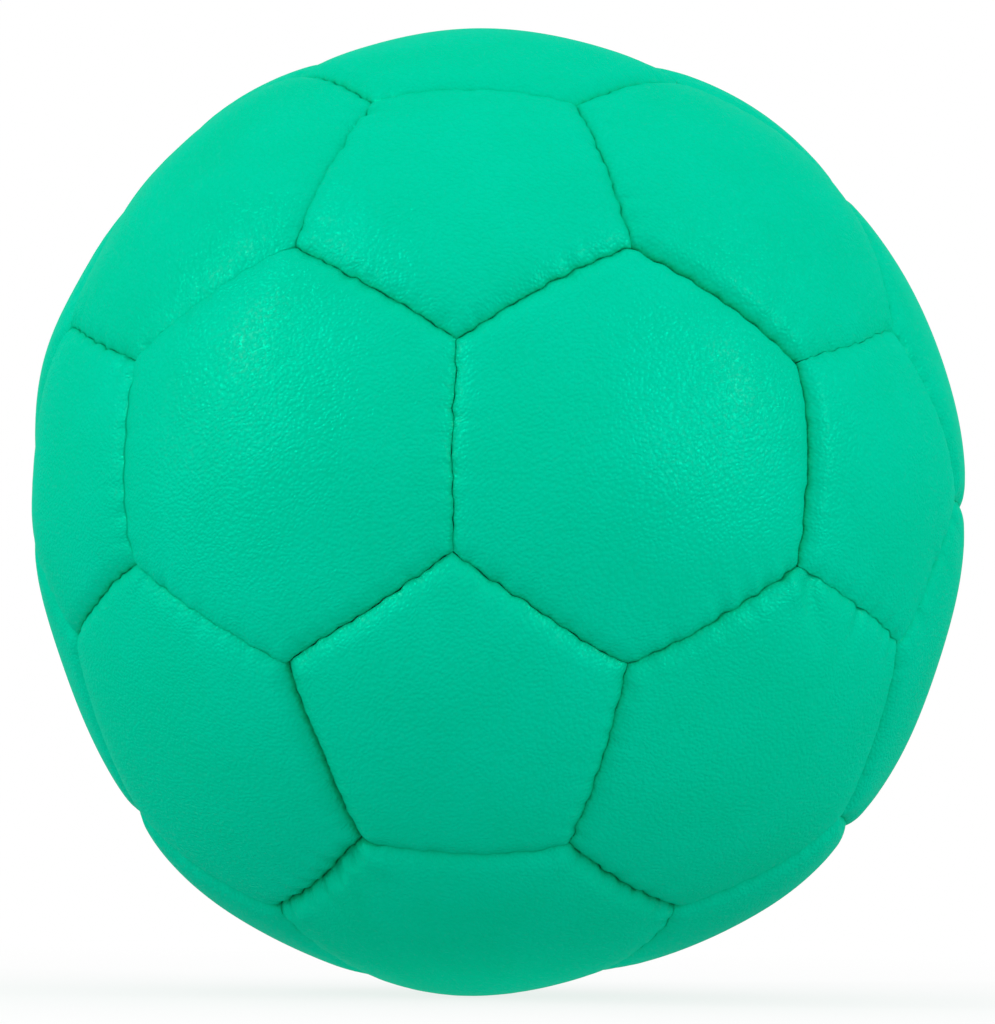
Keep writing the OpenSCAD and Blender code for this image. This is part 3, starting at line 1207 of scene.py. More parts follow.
@dataclass(frozen=True)
class Finish(ABC):
    """What every finish has.

    Attributes:
        name: Name of the material.
        clouds: Size of its clouds of tone, in millimetres.
        roughness: Its roughness in the darkest and in the palest of them.
        relief: Height of its bump, in metres.
        cut_flat: Whether its pattern lies flat on cut pieces, and not all through the ball.
    """

    name: str
    clouds: float
    roughness: tuple[float, float]
    relief: float
    cut_flat: bool = False

    @abstractmethod
    def looks(self, ground: Ground) -> tuple:
        """Works out the looks.

        Args:
            ground: What they are worked out from.

        Returns:
            The colour, the height of the bump and further inputs of the shader.
        """

    def material(self, effects: Effects) -> bpy.types.Material:
        """Makes the material.

        Args:
            effects: The shared node groups.

        Returns:
            The material.
        """
        material, nodes = new_material(self.name)
        if self.cut_flat:
            where, per_unit = nodes.add("UVMap", uv_map="hide").outputs[0], 1 / UV_PER_METRE / MM
        else:
            where, per_unit = nodes.add("TexCoord").outputs["Object"], 1 / MM
        in_mm = nodes.add("Mapping", {"Vector": where, "Scale": (per_unit,) * 3}).outputs[0]
        tone = nodes.group(effects.mottle, Where=in_mm, Size=self.clouds)["Tone"]
        colour, height, further = self.looks(Ground(nodes, effects, in_mm, tone))
        bump = nodes.add("Bump", {"Strength": 1.0, "Distance": self.relief, "Height": height})
        inputs = {
            "Base Color": colour,
            "Roughness": nodes.ranged(tone, 0.0, 1.0, self.roughness),
            "Normal": bump.outputs[0],
            **further,
        }
        shader = nodes.add("BsdfPrincipled", inputs)
        nodes.add("OutputMaterial", {"Surface": shader.outputs[0]})
        return material


@dataclass(frozen=True)
class LeatherFinish(Finish):
    """Soft dyed leather with a fine drawn-out grain and a thin clear finish.

    Attributes:
        dye: Its colour.
        pale: Colour where the dye took less.
        deep: Colour of the painted shade in the grooves along the seams and in the grain's
            creases.
        lustre: Share of the light that the dye itself mirrors in its own colour.
        edge_tint: Colour that tints the lustre seen at a slant.
        finish: Strength of the clear finish, where the grain's tops are polished.
        finish_roughness: Roughness of the clear finish.
        cell: Size of one pebble of the grain, in millimetres.
        stretch: How many times longer than wide a pebble is.
    """

    name: str = "leather"
    clouds: float = 14.0
    roughness: tuple[float, float] = (0.19, 0.26)
    relief: float = 0.085 * MM
    cut_flat: bool = True
    dye: tuple = (0.0, 0.555, 0.315, 1.0)
    pale: tuple = (0.0, 0.6, 0.37, 1.0)
    deep: tuple = (0.0, 0.46, 0.23, 1.0)
    lustre: float = 0.11
    edge_tint: tuple = (0.0, 0.8, 0.6, 1.0)
    finish: float = 0.045
    finish_roughness: float = 0.2
    cell: float = 0.58
    stretch: float = 1.2

    def looks(self, ground: Ground) -> tuple:
        """Dyes the leather by its clouds and the panel's tone, with painted shade in creases and
        grooves.

        Args:
            ground: What the looks are worked out from.

        Returns:
            The colour, the height of the grain and further inputs of the shader.
        """
        nodes = ground.nodes
        grain = nodes.group(
            ground.effects.grain, Where=ground.where, Cell=self.cell, Stretch=self.stretch
        )
        own = nodes.add("Attribute", attribute_name="tone").outputs["Fac"]
        groove = nodes.add("Attribute", attribute_name="groove").outputs["Fac"]
        took = nodes.math("MULTIPLY_ADD", ground.tone, 0.5, own)
        colour = nodes.blend(took, self.dye, self.pale)
        crease_shade = nodes.math("MULTIPLY", grain["Crease"], 0.15)
        # Painted shade: the grain's creases and the seams' grooves are darkened toward the deep
        # colour.
        for share in (crease_shade, groove):
            colour = nodes.blend(share, colour, self.deep)
        further = {
            "Metallic": self.lustre,
            "Specular IOR Level": 0.0,
            "Specular Tint": self.edge_tint,
            "Coat Weight": nodes.math("MULTIPLY", grain["Gloss"], self.finish),
            "Coat Roughness": self.finish_roughness,
        }
        return colour, grain["Height"], further


@dataclass(frozen=True)
class ThreadFinish(Finish):
    """Waxed thread of twisted strands.

    Attributes:
        dye: Its colour.
        worn: Colour along the ridges of the strands.
        strands: Number of strands.
        twist: Length from one ridge to the next along the thread, in metres.
        wax: How brightly the wax mirrors.
    """

    name: str = "thread"
    clouds: float = 1.2
    roughness: tuple[float, float] = (0.35, 0.6)
    relief: float = 0.06 * MM
    dye: tuple = (0.001, 0.17, 0.1, 1.0)
    worn: tuple = (0.004, 0.3, 0.19, 1.0)
    strands: float = 3.0
    twist: float = 1.5 * MM
    wax: float = 0.15

    def looks(self, ground: Ground) -> tuple:
        """Winds the strands: a sine wave of the turns round the thread plus those along it.

        Args:
            ground: What the looks are worked out from.

        Returns:
            The colour, the height of the strands and further inputs of the shader.
        """
        nodes = ground.nodes
        lay = nodes.add("SeparateXYZ", {0: nodes.add("UVMap", uv_map="lay").outputs[0]}).outputs
        round_it = nodes.math("MULTIPLY", lay["X"], self.strands)
        along_it = nodes.math("MULTIPLY", lay["Y"], 1 / UV_PER_METRE / self.twist)
        wound = nodes.math("MULTIPLY", nodes.math("ADD", round_it, along_it), 2 * math.pi)
        ridge = nodes.ranged(nodes.math("SINE", wound), -1.0, 1.0)
        colour = nodes.blend(nodes.math("MULTIPLY", ridge, ground.tone), self.dye, self.worn)
        return colour, ridge, {"Specular IOR Level": self.wax}


@dataclass(frozen=True)
class FoamFinish(Finish):
    """Cream foam with open cells.

    Attributes:
        colour: Its colour.
        aged: Colour that it fades to in its clouds.
        shade: Colour inside the cells.
        cells_per_mm: Cells in one millimetre.
    """

    name: str = "foam"
    clouds: float = 9.0
    roughness: tuple[float, float] = (0.8, 0.95)
    relief: float = 0.15 * MM
    colour: tuple = (0.85, 0.79, 0.6, 1.0)
    aged: tuple = (0.8, 0.7, 0.48, 1.0)
    shade: tuple = (0.55, 0.47, 0.3, 1.0)
    cells_per_mm: float = 1.6

    def looks(self, ground: Ground) -> tuple:
        """Opens a hollow in the middle of each cell.

        Args:
            ground: What the looks are worked out from.

        Returns:
            The colour, the height of the cells' walls and no further inputs.
        """
        nodes = ground.nodes
        cells = nodes.add("TexVoronoi", {"Vector": ground.where, "Scale": self.cells_per_mm})
        hollow = nodes.ranged(cells.outputs["Distance"], 0.1, 0.6, (1.0, 0.0))
        aged = nodes.blend(ground.tone, self.colour, self.aged)
        colour = nodes.blend(nodes.math("MULTIPLY", hollow, 0.7), aged, self.shade)
        return colour, nodes.math("SUBTRACT", 1.0, hollow), {}


@dataclass(frozen=True)
class ClothFinish(Finish):
    """Unbleached cotton in plain weave.

    Attributes:
        colour: Its colour.
        slub: Colour of its thicker places.
        gap: Colour between the threads.
        pitch: Distance from thread to thread, in millimetres.
    """

    name: str = "backing_cloth"
    clouds: float = 6.0
    roughness: tuple[float, float] = (0.78, 0.95)
    relief: float = 0.12 * MM
    cut_flat: bool = True
    colour: tuple = (0.7, 0.66, 0.57, 1.0)
    slub: tuple = (0.82, 0.79, 0.7, 1.0)
    # gap: Colour of the painted shade between the threads.
    gap: tuple = (0.35, 0.31, 0.24, 1.0)
    pitch: float = 0.5

    def looks(self, ground: Ground) -> tuple:
        """Paints shade into the gaps of the weave and pales the slubs.

        Args:
            ground: What the looks are worked out from.

        Returns:
            The colour, the height of the weave and no further inputs.
        """
        nodes = ground.nodes
        weave = nodes.group(ground.effects.weave, Where=ground.where, Pitch=self.pitch)["Height"]
        # Painted shade between the threads of the weave.
        colour = nodes.blend(nodes.ranged(weave, 0.1, 0.8), self.gap, self.colour)
        slubs = nodes.math("MULTIPLY", ground.tone, 0.35)
        return nodes.blend(slubs, colour, self.slub), weave, {}


@dataclass(frozen=True)
class FibreFinish(Finish):
    """Matted textile fibre in greys and creams.

    Attributes:
        colour: Colour of most of it.
        fleck: Colour of the darker tufts.
        pale: Colour of the fibres on top.
    """

    name: str = "fibre"
    clouds: float = 5.0
    roughness: tuple[float, float] = (0.85, 1.0)
    relief: float = 0.4 * MM
    colour: tuple = (0.6, 0.57, 0.5, 1.0)
    fleck: tuple = (0.22, 0.24, 0.27, 1.0)
    pale: tuple = (0.78, 0.75, 0.68, 1.0)

    def looks(self, ground: Ground) -> tuple:
        """Tangles fibres along the middle of twisted noise.

        Args:
            ground: What the looks are worked out from.

        Returns:
            The colour, the height of the fibres and no further inputs.
        """
        nodes = ground.nodes
        inputs = {"Vector": ground.where, "Scale": 0.6, "Detail": 6.0, "Distortion": 2.5}
        strand = nodes.crest(nodes.add("TexNoise", inputs).outputs["Fac"], 0.12)
        tufts = nodes.ranged(ground.tone, 0.55, 0.9, (0.0, 0.8))
        colour = nodes.blend(tufts, self.colour, self.fleck)
        return nodes.blend(strand, colour, self.pale), strand, {}


# The pieces of the ball


@dataclass
class Ball:
    """What the sub-assemblies share.

    Attributes:
        sizes: Sizes of the ball.
        layout: The panels and seams.
        roundness: How it departs from a sphere.
        crown: The bulge of the panels.
        seam_shape: How the seams wander and dip.
        effects: The shared node groups.
    """

    sizes: BallSizes
    layout: Layout
    roundness: Roundness
    crown: Crown
    seam_shape: SeamShape
    effects: Effects


@dataclass
class Cover:
    """The thirty-two leather panels.

    Attributes:
        ball: What the sub-assemblies share.
        rows: Rows of faces in each kite of a panel.
        close_w: How far from the seams the rows lie closer.
        groove_w: How far from the seams the painted shade of their grooves reaches.
        tones: Least and greatest paleness of a panel's own tone.
        cloud_w: Size of the broad clouds in the dye.
        cloud: How much paler or deeper each wave of theirs makes it.
        askew: How far a panel's grain lies out of level, in radians.
        finish: The leather's finish.
    """

    ball: Ball
    rows: int = 52
    close_w: float = 1.6 * MM
    groove_w: float = 0.45 * MM
    tones: tuple[float, float] = (0.05, 0.4)
    cloud_w: float = 16 * MM
    cloud: float = 0.05
    askew: float = 0.4
    finish: LeatherFinish = LeatherFinish()

    def shell(self, kind: PanelKind) -> Shell:
        """Returns the flat plan of one kind of panel.

        Args:
            kind: The panel's shape.
        """
        sizes = self.ball.sizes
        edge, inner = sizes.half_gap, sizes.half_gap + sizes.skin_t
        return Shell(kind, sizes, self.rows, 4, edge, inner, fold_w=self.close_w, rings=6)

    def _pulled(
        self, shell: Shell, panel: Panel, flat: np.ndarray, along: np.ndarray, inside: np.ndarray
    ) -> np.ndarray:
        """Moves points sideways with the wandering seams.

        Args:
            shell: The plan.
            panel: The panel.
            flat: Points on the plan, one row each.
            along: Their angles along the sides.
            inside: Their distances inside the sides.
        """
        moved = self.ball.seam_shape.sideways(panel, along, inside) * shell.scale
        return flat + moved @ shell.side_directions()

    def panel_mesh(self, shell: Shell, panel: Panel) -> bpy.types.Mesh:
        """Builds one panel: its face, the roll, the turned-in hem and the inner face.

        The face lies at the crown's radius, less the roll, the dips, the gathers, the pleats
        and the wrinkles of this panel. The inner face lies a skin's thickness under it, but
        takes up only the roll. Each ring lies at a distance inside the seams and at a radius:
        two down the flat of the turned-in edge, three round its hem on a half circle, and one
        up its inner side.

        Args:
            shell: The plan of this kind of panel.
            panel: The panel.

        Returns:
            A closed mesh.
        """
        sizes, shape, crown = self.ball.sizes, self.ball.seam_shape, self.ball.crown
        plan = shell.plan
        front = plan["front"]
        along, inside = shell.to_sides(front)
        directions = panel.directions(self._pulled(shell, panel, front, along, inside))
        radius = crown.radius(panel, directions) - shape.rolled(panel, inside)
        radius = radius - shape.lowered(panel, along, inside)
        for crease in CREASES:
            if crease.panel == panel.place:
                radius = radius - crease.lowered(directions, sizes.crown_r)
        back = panel.directions(plan["back"])
        back_inside = shell.to_sides(plan["back"])[1]
        back_r = crown.radius(panel, back) - shape.rolled(panel, back_inside, folded=False)
        back_r = back_r - sizes.skin_t
        points = [directions * radius[:, None]]
        hide = [front]
        rim = front[plan["rim"]]
        rim_along, rim_inside = along[plan["rim"]], inside[plan["rim"]]
        edge_r = radius[plan["rim"]]
        half_t = sizes.skin_t / 2
        hem_top = sizes.hem_r + half_t
        down = [(0.0, edge_r + (hem_top - edge_r) * part) for part in (0.5, 1)]
        bends = np.linspace(0, math.pi, 4)[1:]
        hem = [(half_t * (1 - math.cos(b)), hem_top - half_t * math.sin(b)) for b in bends]
        risen = 0.8
        rise = [(sizes.skin_t, hem_top + (back_r.min() - hem_top) * risen)]
        travel = 0.0
        for deep, ring_r in down + hem + rise:
            travel += half_t
            shrink = 1 - deep * shell.scale / shell.reach
            flat = self._pulled(shell, panel, rim * shrink, rim_along, rim_inside)
            points.append(panel.directions(flat) * np.broadcast_to(ring_r, len(flat))[:, None])
            hide.append(rim * (1 + travel * shell.scale / shell.reach))
        points.append(back * back_r[:, None])
        hide.append(plan["back"])
        placed = self.ball.roundness.shaped(np.concatenate(points))
        return make_mesh(
            panel.name + "_leather",
            placed,
            plan["faces"],
            hide=self._on_hide(panel, np.concatenate(hide)),
            groove=self._groove(panel, len(placed), inside),
            tone=self._tone(panel, placed),
        )

    def _on_hide(self, panel: Panel, flat: np.ndarray) -> np.ndarray:
        """Lays a panel's plan on the hide that it was cut from, in UV units.

        Args:
            panel: The panel.
            flat: Points on its plan, one row each.
        """
        random = np.random.default_rng(HIDE_SEED + panel.number)
        level = math.atan2(panel.across[2], panel.beside[2])
        angle = random.normal(0, self.askew) + level
        turned = flat @ np.array(
            [[math.cos(angle), math.sin(angle)], [-math.sin(angle), math.cos(angle)]]
        )
        return turned * self.ball.sizes.crown_r * UV_PER_METRE + panel.cell

    def _groove(self, panel: Panel, count: int, inside: np.ndarray) -> np.ndarray:
        """Returns how much painted shade from a seam's groove each point takes, where one is all
        of it.

        Args:
            panel: The panel.
            count: Number of points in the panel.
            inside: Distances of the face's points inside its sides.
        """
        groove = np.ones(count)
        # Painted shade along the seams, darker where a seam lies open.
        near = bell(inside / self.groove_w)
        groove[: len(near)] = (near * self.ball.seam_shape.slackness(panel)).max(axis=1)
        return groove

    def _tone(self, panel: Panel, points: np.ndarray) -> np.ndarray:
        """Returns how pale the dye is at each point: the panel's own tone and broad clouds.

        Args:
            panel: The panel.
            points: Its points, one row each.
        """
        random = np.random.default_rng(TONE_SEED + panel.number)
        own = random.uniform(*self.tones)
        rates = random.normal(0, 1, (6, 3)) / self.cloud_w
        clouds = np.cos(points @ rates.T + random.uniform(0, 6, 6)).sum(axis=1)
        return own + self.cloud * clouds

    def build(self) -> None:
        """Builds and dresses every panel."""
        leather = self.finish.material(self.ball.effects)
        shells = {kind: self.shell(kind) for kind in PanelKind}
        for panel in self.ball.layout.panels:
            mesh = self.panel_mesh(shells[panel.kind], panel)
            piece = place_piece(mesh, leather, "leather", panel.name)


@dataclass
class Stitching:
    """The waxed thread: two threads to a seam, which change sides in every hole.

    Attributes:
        ball: What the sub-assemblies share.
        thread_d: Diameter of the thread.
        crossed: Share of a stitch by which the thread has crossed.
        runs_from: Share of a stitch from which it runs along.
        around: Faces round the thread.
        per_stitch: Rings of faces from one stitch to the next.
        finish: The thread's finish.
    """

    ball: Ball
    thread_d: float = 0.5 * MM
    crossed: float = 0.42
    runs_from: float = 0.3
    around: int = 8
    per_stitch: int = 14
    finish: ThreadFinish = ThreadFinish()

    def path(self, seam: Seam, start_side: int) -> np.ndarray:
        """Works out the line of one thread.

        From each hole to the next the thread first crosses to the other side, as a smooth
        step, and then runs along it, as another.

        Args:
            seam: The seam.
            start_side: 1 or -1, the side on which the thread starts.

        Returns:
            Points along the thread, one row each.
        """
        sizes, angles = self.ball.sizes, self.ball.seam_shape.stitch_angles
        place = np.linspace(0, len(angles) - 1, (len(angles) - 1) * self.per_stitch + 1)
        hole = np.minimum(place.astype(int), len(angles) - 2)
        part = place - hole
        crossing = smooth(part / self.crossed)
        running = smooth((part - self.runs_from) / (1 - self.runs_from))
        side = start_side * np.where(hole % 2 == 0, 1, -1)
        rail = sizes.half_gap + sizes.skin_t + self.thread_d
        across = side * rail * (2 * crossing - 1)
        along = angles[hole] + running * (angles[1] - angles[0])
        passing = np.sin(crossing * math.pi)
        apart, sunk = 0.55, 1.1
        radius = sizes.stitch_r + (apart * start_side - sunk) * self.thread_d * passing
        outward = seam.middle * np.cos(along)[:, None] + seam.along * np.sin(along)[:, None]
        beside = np.cross(seam.middle, seam.along)
        return outward * radius[:, None] + across[:, None] * beside

    def tube(self, line: np.ndarray) -> tuple[np.ndarray, np.ndarray, np.ndarray]:
        """Carries a circle along a line.

        Args:
            line: Points along the middle, one row each.

        Returns:
            The points, the quads between them and the UVs: turns round it and way along it.
        """
        tangent = unit(np.gradient(line, axis=0))
        outward = unit(line)
        normal = unit(outward - (outward * tangent).sum(axis=1)[:, None] * tangent)
        side = np.cross(tangent, normal)
        angle = np.linspace(0, 2 * math.pi, self.around, endpoint=False)
        ring = (
            np.cos(angle)[None, :, None] * normal[:, None, :]
            + np.sin(angle)[None, :, None] * side[:, None, :]
        )
        points = (line[:, None, :] + ring * self.thread_d / 2).reshape(-1, 3)
        _, _, inward = ring_faces(len(line), self.around)
        quads = np.roll(inward[:, ::-1], 1, axis=1)
        travel = np.concatenate([[0], np.cumsum(np.linalg.norm(np.diff(line, axis=0), axis=1))])
        lay = np.stack(
            np.broadcast_arrays(angle / (2 * math.pi), travel[:, None] * UV_PER_METRE), axis=-1
        )
        return points, quads, lay.reshape(-1, 2)

    def build(self) -> None:
        """Builds and dresses the thread of every thread node, each end with a flat cap."""
        material = self.finish.material(self.ball.effects)
        owners = sorted({seam.owner for seam in self.ball.layout.seams})
        for owner in owners:
            points, quads, caps, lays = [], [], [], []
            for seam in self.ball.layout.seams:
                if seam.owner != owner:
                    continue
                for start_side in (-1, 1):
                    tube_points, faces, lay = self.tube(self.path(seam, start_side))
                    base = sum(len(p) for p in points)
                    last = base + len(tube_points) - self.around
                    points.append(tube_points)
                    quads.append(faces + base)
                    caps.append(base + np.arange(self.around)[::-1])
                    caps.append(last + np.arange(self.around))
                    lays.append(lay)
            placed = self.ball.roundness.shaped(np.concatenate(points))
            mesh = make_mesh(
                owner + "_waxed",
                placed,
                [np.concatenate(quads), np.array(caps)],
                lay=np.concatenate(lays),
            )
            place_piece(mesh, material, "thread", owner)


@dataclass
class Lining:
    """The foam pads under the leather and the cloth that backs them.

    Attributes:
        ball: What the sub-assemblies share.
        rows: Rows of faces in each kite.
        inset: How far the edges lie inside the seams.
        pad_round: Radius of the pads' rounded edges.
        cloth_round: Radius of the cloth's.
        foam: The foam's finish.
        cloth: The cloth's finish.
    """

    ball: Ball
    rows: int = 12
    inset: float = 2.4 * MM
    pad_round: float = 0.35 * MM
    cloth_round: float = 0.2 * MM
    foam: FoamFinish = FoamFinish()
    cloth: ClothFinish = ClothFinish()

    def _layer(
        self,
        name: str,
        kind: PanelKind,
        top: Callable[[Panel, np.ndarray, np.ndarray], np.ndarray],
        low_r: float,
        round_r: float,
    ) -> bpy.types.Mesh:
        """Builds one layer under all the panels of a kind.

        The face lies at the radius that top gives, less a quarter circle round its edge. Two
        rings run down its side to the smooth back.

        Args:
            name: Name of the mesh.
            kind: The panels' shape.
            top: Gives the radius of the face for a panel, directions and distances inside.
            low_r: Radius of the back.
            round_r: Radius of the rounded edge.

        Returns:
            Closed shells, one to a panel, in one mesh.
        """
        sizes, inset = self.ball.sizes, self.inset
        fold_w = inset + round_r
        shell = Shell(kind, sizes, self.rows, 1, inset, inset, fold_w=fold_w, rings=2)
        plan = shell.plan
        rim = plan["rim"]
        inside = shell.to_sides(plan["front"])[1]
        corner = np.clip((inside - inset) / round_r, 0, 1)
        rounded = (round_r * (1 - np.sqrt(1 - (1 - corner) ** 2))).max(axis=1)
        points, hide, faces = [], [], []
        for panel in self.ball.layout.panels:
            if panel.kind is not kind:
                continue
            base = sum(len(p) for p in points)
            directions = panel.directions(plan["front"])
            radius = top(panel, directions, inside) - rounded
            rim_r = radius[rim]
            points.append(directions * radius[:, None])
            for part in (0.5, 1.0):
                ring_r = rim_r + (low_r - rim_r) * part
                points.append(directions[rim] * ring_r[:, None])
            points.append(panel.directions(plan["back"]) * low_r)
            flats = [plan["front"], plan["front"][rim], plan["front"][rim], plan["back"]]
            hide.append(np.concatenate(flats) * sizes.crown_r * UV_PER_METRE + panel.cell)
            faces.extend(part + base for part in plan["faces"])
        placed = self.ball.roundness.shaped(np.concatenate(points))
        return make_mesh(name, placed, faces, hide=np.concatenate(hide))

    def _under_leather(
        self, panel: Panel, directions: np.ndarray, inside: np.ndarray
    ) -> np.ndarray:
        """Returns the radius just under the inner face of a panel.

        Args:
            panel: The panel.
            directions: Unit directions, one row each.
            inside: Distances inside its sides, one column each.
        """
        sizes = self.ball.sizes
        sunk = self.ball.seam_shape.rolled(panel, inside, folded=False)
        face = self.ball.crown.radius(panel, directions) - sunk
        return face - sizes.skin_t - sizes.layer_gap

    def build(self) -> None:
        """Builds and dresses the pads and the cloth of both kinds."""
        sizes = self.ball.sizes
        foam = self.foam.material(self.ball.effects)
        cloth = self.cloth.material(self.ball.effects)
        cloth_top = sizes.hem_r + sizes.cloth_t
        for kind in PanelKind:
            word = kind.name.lower()
            pads = self._layer(
                word + "_foam_pads", kind, self._under_leather,
                cloth_top + sizes.layer_gap, self.pad_round,
            )
            place_piece(pads, foam, "foam", word + "_pads")
            backing = self._layer(
                word + "_backing_cloth", kind,
                lambda panel, directions, inside: np.full(len(directions), cloth_top),
                sizes.hem_r, self.cloth_round,
            )
            place_piece(backing, cloth, "backing_cloth", word + "_backings")


@dataclass
class Stuffing:
    """The packed fibre.

    Attributes:
        ball: What the sub-assemblies share.
        around: Faces round it.
        dent: Depth of the hollows in its face.
        waves: Number of waves that the hollows come from.
        rates: Least and greatest number of radians of a wave in one radius.
        crowd: How much of the face they take up.
        finish: The fibre's finish.
    """

    ball: Ball
    around: int = 144
    dent: float = 0.5 * MM
    waves: int = 14
    rates: tuple[float, float] = (8, 30)
    crowd: float = 10
    finish: FibreFinish = FibreFinish()

    def build(self) -> None:
        """Builds a globe with hollows, as rings from pole to pole with a point at each.

        The hollows are the squares of a sum of cosine waves through the ball.
        """
        sizes = self.ball.sizes
        rings = self.around // 2 - 1
        down = np.arange(1, rings + 1) / (rings + 1) * math.pi
        turn = np.arange(self.around) / self.around * 2 * math.pi
        polar, round_ = np.meshgrid(down, turn, indexing="ij")
        body = np.stack(
            [np.sin(polar) * np.cos(round_), np.sin(polar) * np.sin(round_), np.cos(polar)], -1
        )
        directions = np.concatenate([body.reshape(-1, 3), [[0, 0, 1], [0, 0, -1]]])
        random = np.random.default_rng(FIBRE_SEED)
        ways = unit(random.normal(size=(self.waves, 3)))
        rates = ways * random.uniform(*self.rates, (self.waves, 1))
        waves = np.cos(directions @ rates.T + random.uniform(0, 6, self.waves)).mean(axis=1)
        hollow = np.minimum(waves**2 * self.crowd, 1)
        radius = sizes.hem_r - sizes.layer_gap - self.dent * hollow
        index, after, quads = ring_faces(rings, self.around)
        top, bottom = index.size, index.size + 1
        poles = [fan(top, index[0], after[0]), fan(bottom, after[-1], index[-1])]
        placed = self.ball.roundness.shaped(directions * radius[:, None])
        mesh = make_mesh("packed_fibre", placed, [quads, *poles])
        fibre = self.finish.material(self.ball.effects)
        piece = place_piece(mesh, fibre, "stuffing", "fibre_stuffing")


# The studio


@dataclass(frozen=True)
class SoftBox:
    """One soft lamp that looks at the middle of the ball.

    Attributes:
        name: Its name.
        azimuth: Turn to the right of the front, in degrees.
        elevation: Height, in degrees.
        distance: From the ball.
        width: Its width.
        height: Its height.
        power: Its power in watts.
    """

    name: str
    azimuth: float
    elevation: float
    distance: float
    width: float
    height: float
    power: float

    def build(self) -> None:
        """Adds the lamp."""
        lamp = bpy.data.lights.new(self.name, "AREA")
        lamp.shape = "RECTANGLE"
        lamp.size = self.width
        lamp.size_y = self.height
        lamp.energy = self.power
        holder = bpy.data.objects.new(self.name, lamp)
        toward = Vector(direction(self.azimuth, self.elevation))
        holder.location = toward * self.distance
        holder.rotation_euler = toward.to_track_quat("Z", "Y").to_euler()
        bpy.context.scene.collection.objects.link(holder)


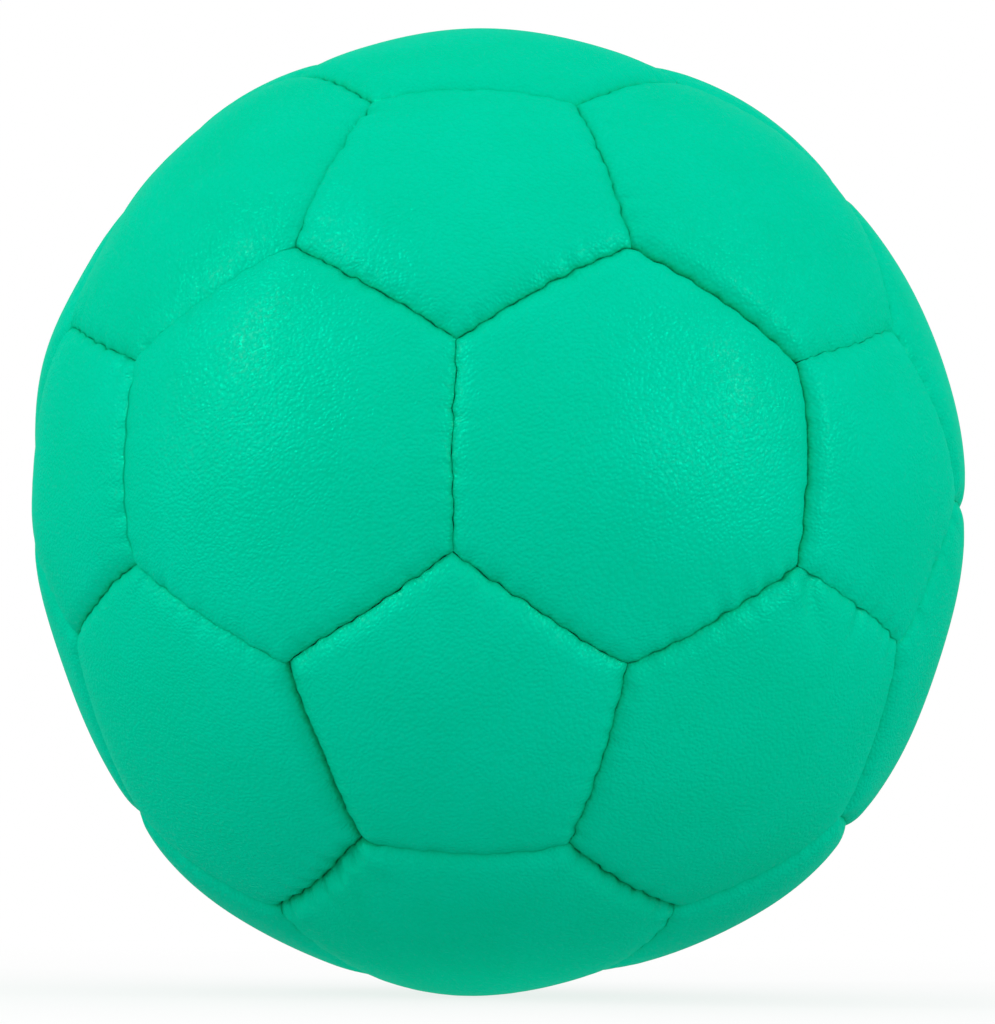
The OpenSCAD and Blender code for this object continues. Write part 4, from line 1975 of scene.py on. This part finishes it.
@dataclass
class Studio:
    """The floor, the lamps, the surroundings and the camera.

    Attributes:
        view: Where the ball is seen from.
        floor_r: Radius of the floor.
        floor_glow: How brightly the lit table shines on the ball, where white is one.
        foot_glow: The same right under the ball.
        foot_reach: How far out that reaches, and where it has faded.
        matt: Colour of the table's matt top.
        lit_share: Share of the table's white that comes from its own light.
        fade_reach: How far out the rest fades into light too, and where it has done so.
        lamps: The lamps.
    """

    view: Viewpoint
    floor_r: float = 3.0
    floor_glow: float = 0.53
    foot_glow: float = 0.85
    foot_reach: tuple[float, float] = (22 * MM, 42 * MM)
    matt: tuple = (0.84, 0.84, 0.84, 1.0)
    lit_share: float = 0.8
    fade_reach: tuple[float, float] = (0.1, 0.6)
    lamps: tuple[SoftBox, ...] = (
        SoftBox("left_softbox", -58, 32, 1.1, 0.07, 0.35, 1.8),
        SoftBox("right_softbox", 66, 24, 1.1, 0.06, 0.3, 1.2),
        SoftBox("far_left_softbox", -66, 11, 1.6, 1.1, 0.5, 2.6),
        SoftBox("far_right_softbox", 60, 11, 1.6, 1.1, 0.5, 2.6),
    )

    def floor(self, height: float) -> None:
        """Lays a round floor of rings that widen outwards.

        Args:
            height: Its height.
        """
        around, rings = 64, 12
        out = self.floor_r * np.linspace(0, 1, rings + 1)[1:] ** 2
        turn = np.arange(around) / around * 2 * math.pi
        level = np.full((rings, around), height)
        body = np.stack([out[:, None] * np.cos(turn), out[:, None] * np.sin(turn), level], -1)
        points = np.concatenate([body.reshape(-1, 3), [[0, 0, height]]])
        index, after, quads = ring_faces(rings, around)
        mesh = make_mesh("floor", points, [quads, fan(index.size, index[0], after[0])])
        mesh.materials.append(self._floor_material())
        floor = bpy.data.objects.new("floor", mesh)
        bpy.context.scene.collection.objects.link(floor)
        floor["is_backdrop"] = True

    def _floor_material(self) -> bpy.types.Material:
        """Returns the finish of a white table lit from below.

        Most of what the camera sees of it is plain white, and further out all of it is, so
        that it runs into the white around it. The rest is matt and takes the ball's shadow.
        """
        material, nodes = new_material("floor")
        matt = nodes.add("BsdfDiffuse", {"Color": self.matt})
        path = nodes.add("LightPath").outputs
        seen = nodes.math("MAXIMUM", path["Is Camera Ray"], path["Is Glossy Ray"])
        seen = nodes.math("MAXIMUM", seen, path["Is Transmission Ray"])
        where = nodes.add("SeparateXYZ", {0: nodes.add("TexCoord").outputs["Object"]})
        flat = nodes.add("CombineXYZ", {"X": where.outputs["X"], "Y": where.outputs["Y"]})
        out = nodes.add("VectorMath", {0: flat.outputs[0]}, operation="LENGTH").outputs["Value"]
        shine = nodes.ranged(out, *self.foot_reach, (self.foot_glow, self.floor_glow))
        shine = nodes.math("MAXIMUM", seen, shine)
        white = nodes.add("Emission", {"Strength": shine})
        far = nodes.ranged(out, *self.fade_reach, (0.0, 1 - self.lit_share))
        share = nodes.math("MULTIPLY_ADD", seen, far, self.lit_share)
        chosen = nodes.add("MixShader", {0: share, 1: matt.outputs[0], 2: white.outputs[0]})
        nodes.add("OutputMaterial", {"Surface": chosen.outputs[0]})
        return material

    def surroundings(self) -> None:
        """Sets the world to an even white tent."""
        world = bpy.data.worlds.new("surroundings")
        world.use_nodes = True
        world.node_tree.nodes.clear()
        nodes = Nodes(world.node_tree)
        light = nodes.add("Background", {"Color": (1, 1, 1, 1), "Strength": 1.0})
        nodes.add("OutputWorld", {"Surface": light.outputs[0]})
        bpy.context.scene.world = world

    def camera(self) -> None:
        """Sets up the camera at the viewpoint."""
        right, up, toward = self.view.axes()
        data = bpy.data.cameras.new("camera")
        data.lens = self.view.lens
        data.sensor_width = self.view.sensor
        data.clip_start = 0.01
        data.clip_end = 20
        camera = bpy.data.objects.new("camera", data)
        target = right * self.view.aim[0] + up * self.view.aim[1]
        place = toward * self.view.distance
        look = unit(place - target)
        level = unit(np.cross(up, look))
        turned = np.column_stack([level, np.cross(look, level), look])
        camera.matrix_world = Matrix.Translation(place) @ Matrix(turned.tolist()).to_4x4()
        bpy.context.scene.collection.objects.link(camera)
        bpy.context.scene.camera = camera

    def build(self) -> None:
        """Sets up everything round the ball."""
        low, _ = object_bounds()
        self.floor(low.z)
        self.surroundings()
        for lamp in self.lamps:
            lamp.build()
        self.camera()
        bpy.context.scene.view_settings.view_transform = "Standard"


def main() -> None:
    """Builds the ball from the outside in, then the studio."""
    view = Viewpoint()
    sizes = BallSizes.from_frame()
    layout = Layout()
    ball = Ball(
        sizes, layout, Roundness(view), Crown(sizes), SeamShape(layout, sizes), Effects()
    )
    for part in (Cover(ball), Stitching(ball), Lining(ball), Stuffing(ball), Studio(view)):
        part.build()
        log.info("%s built", type(part).__name__)


if __name__ == "__main__":
    main()
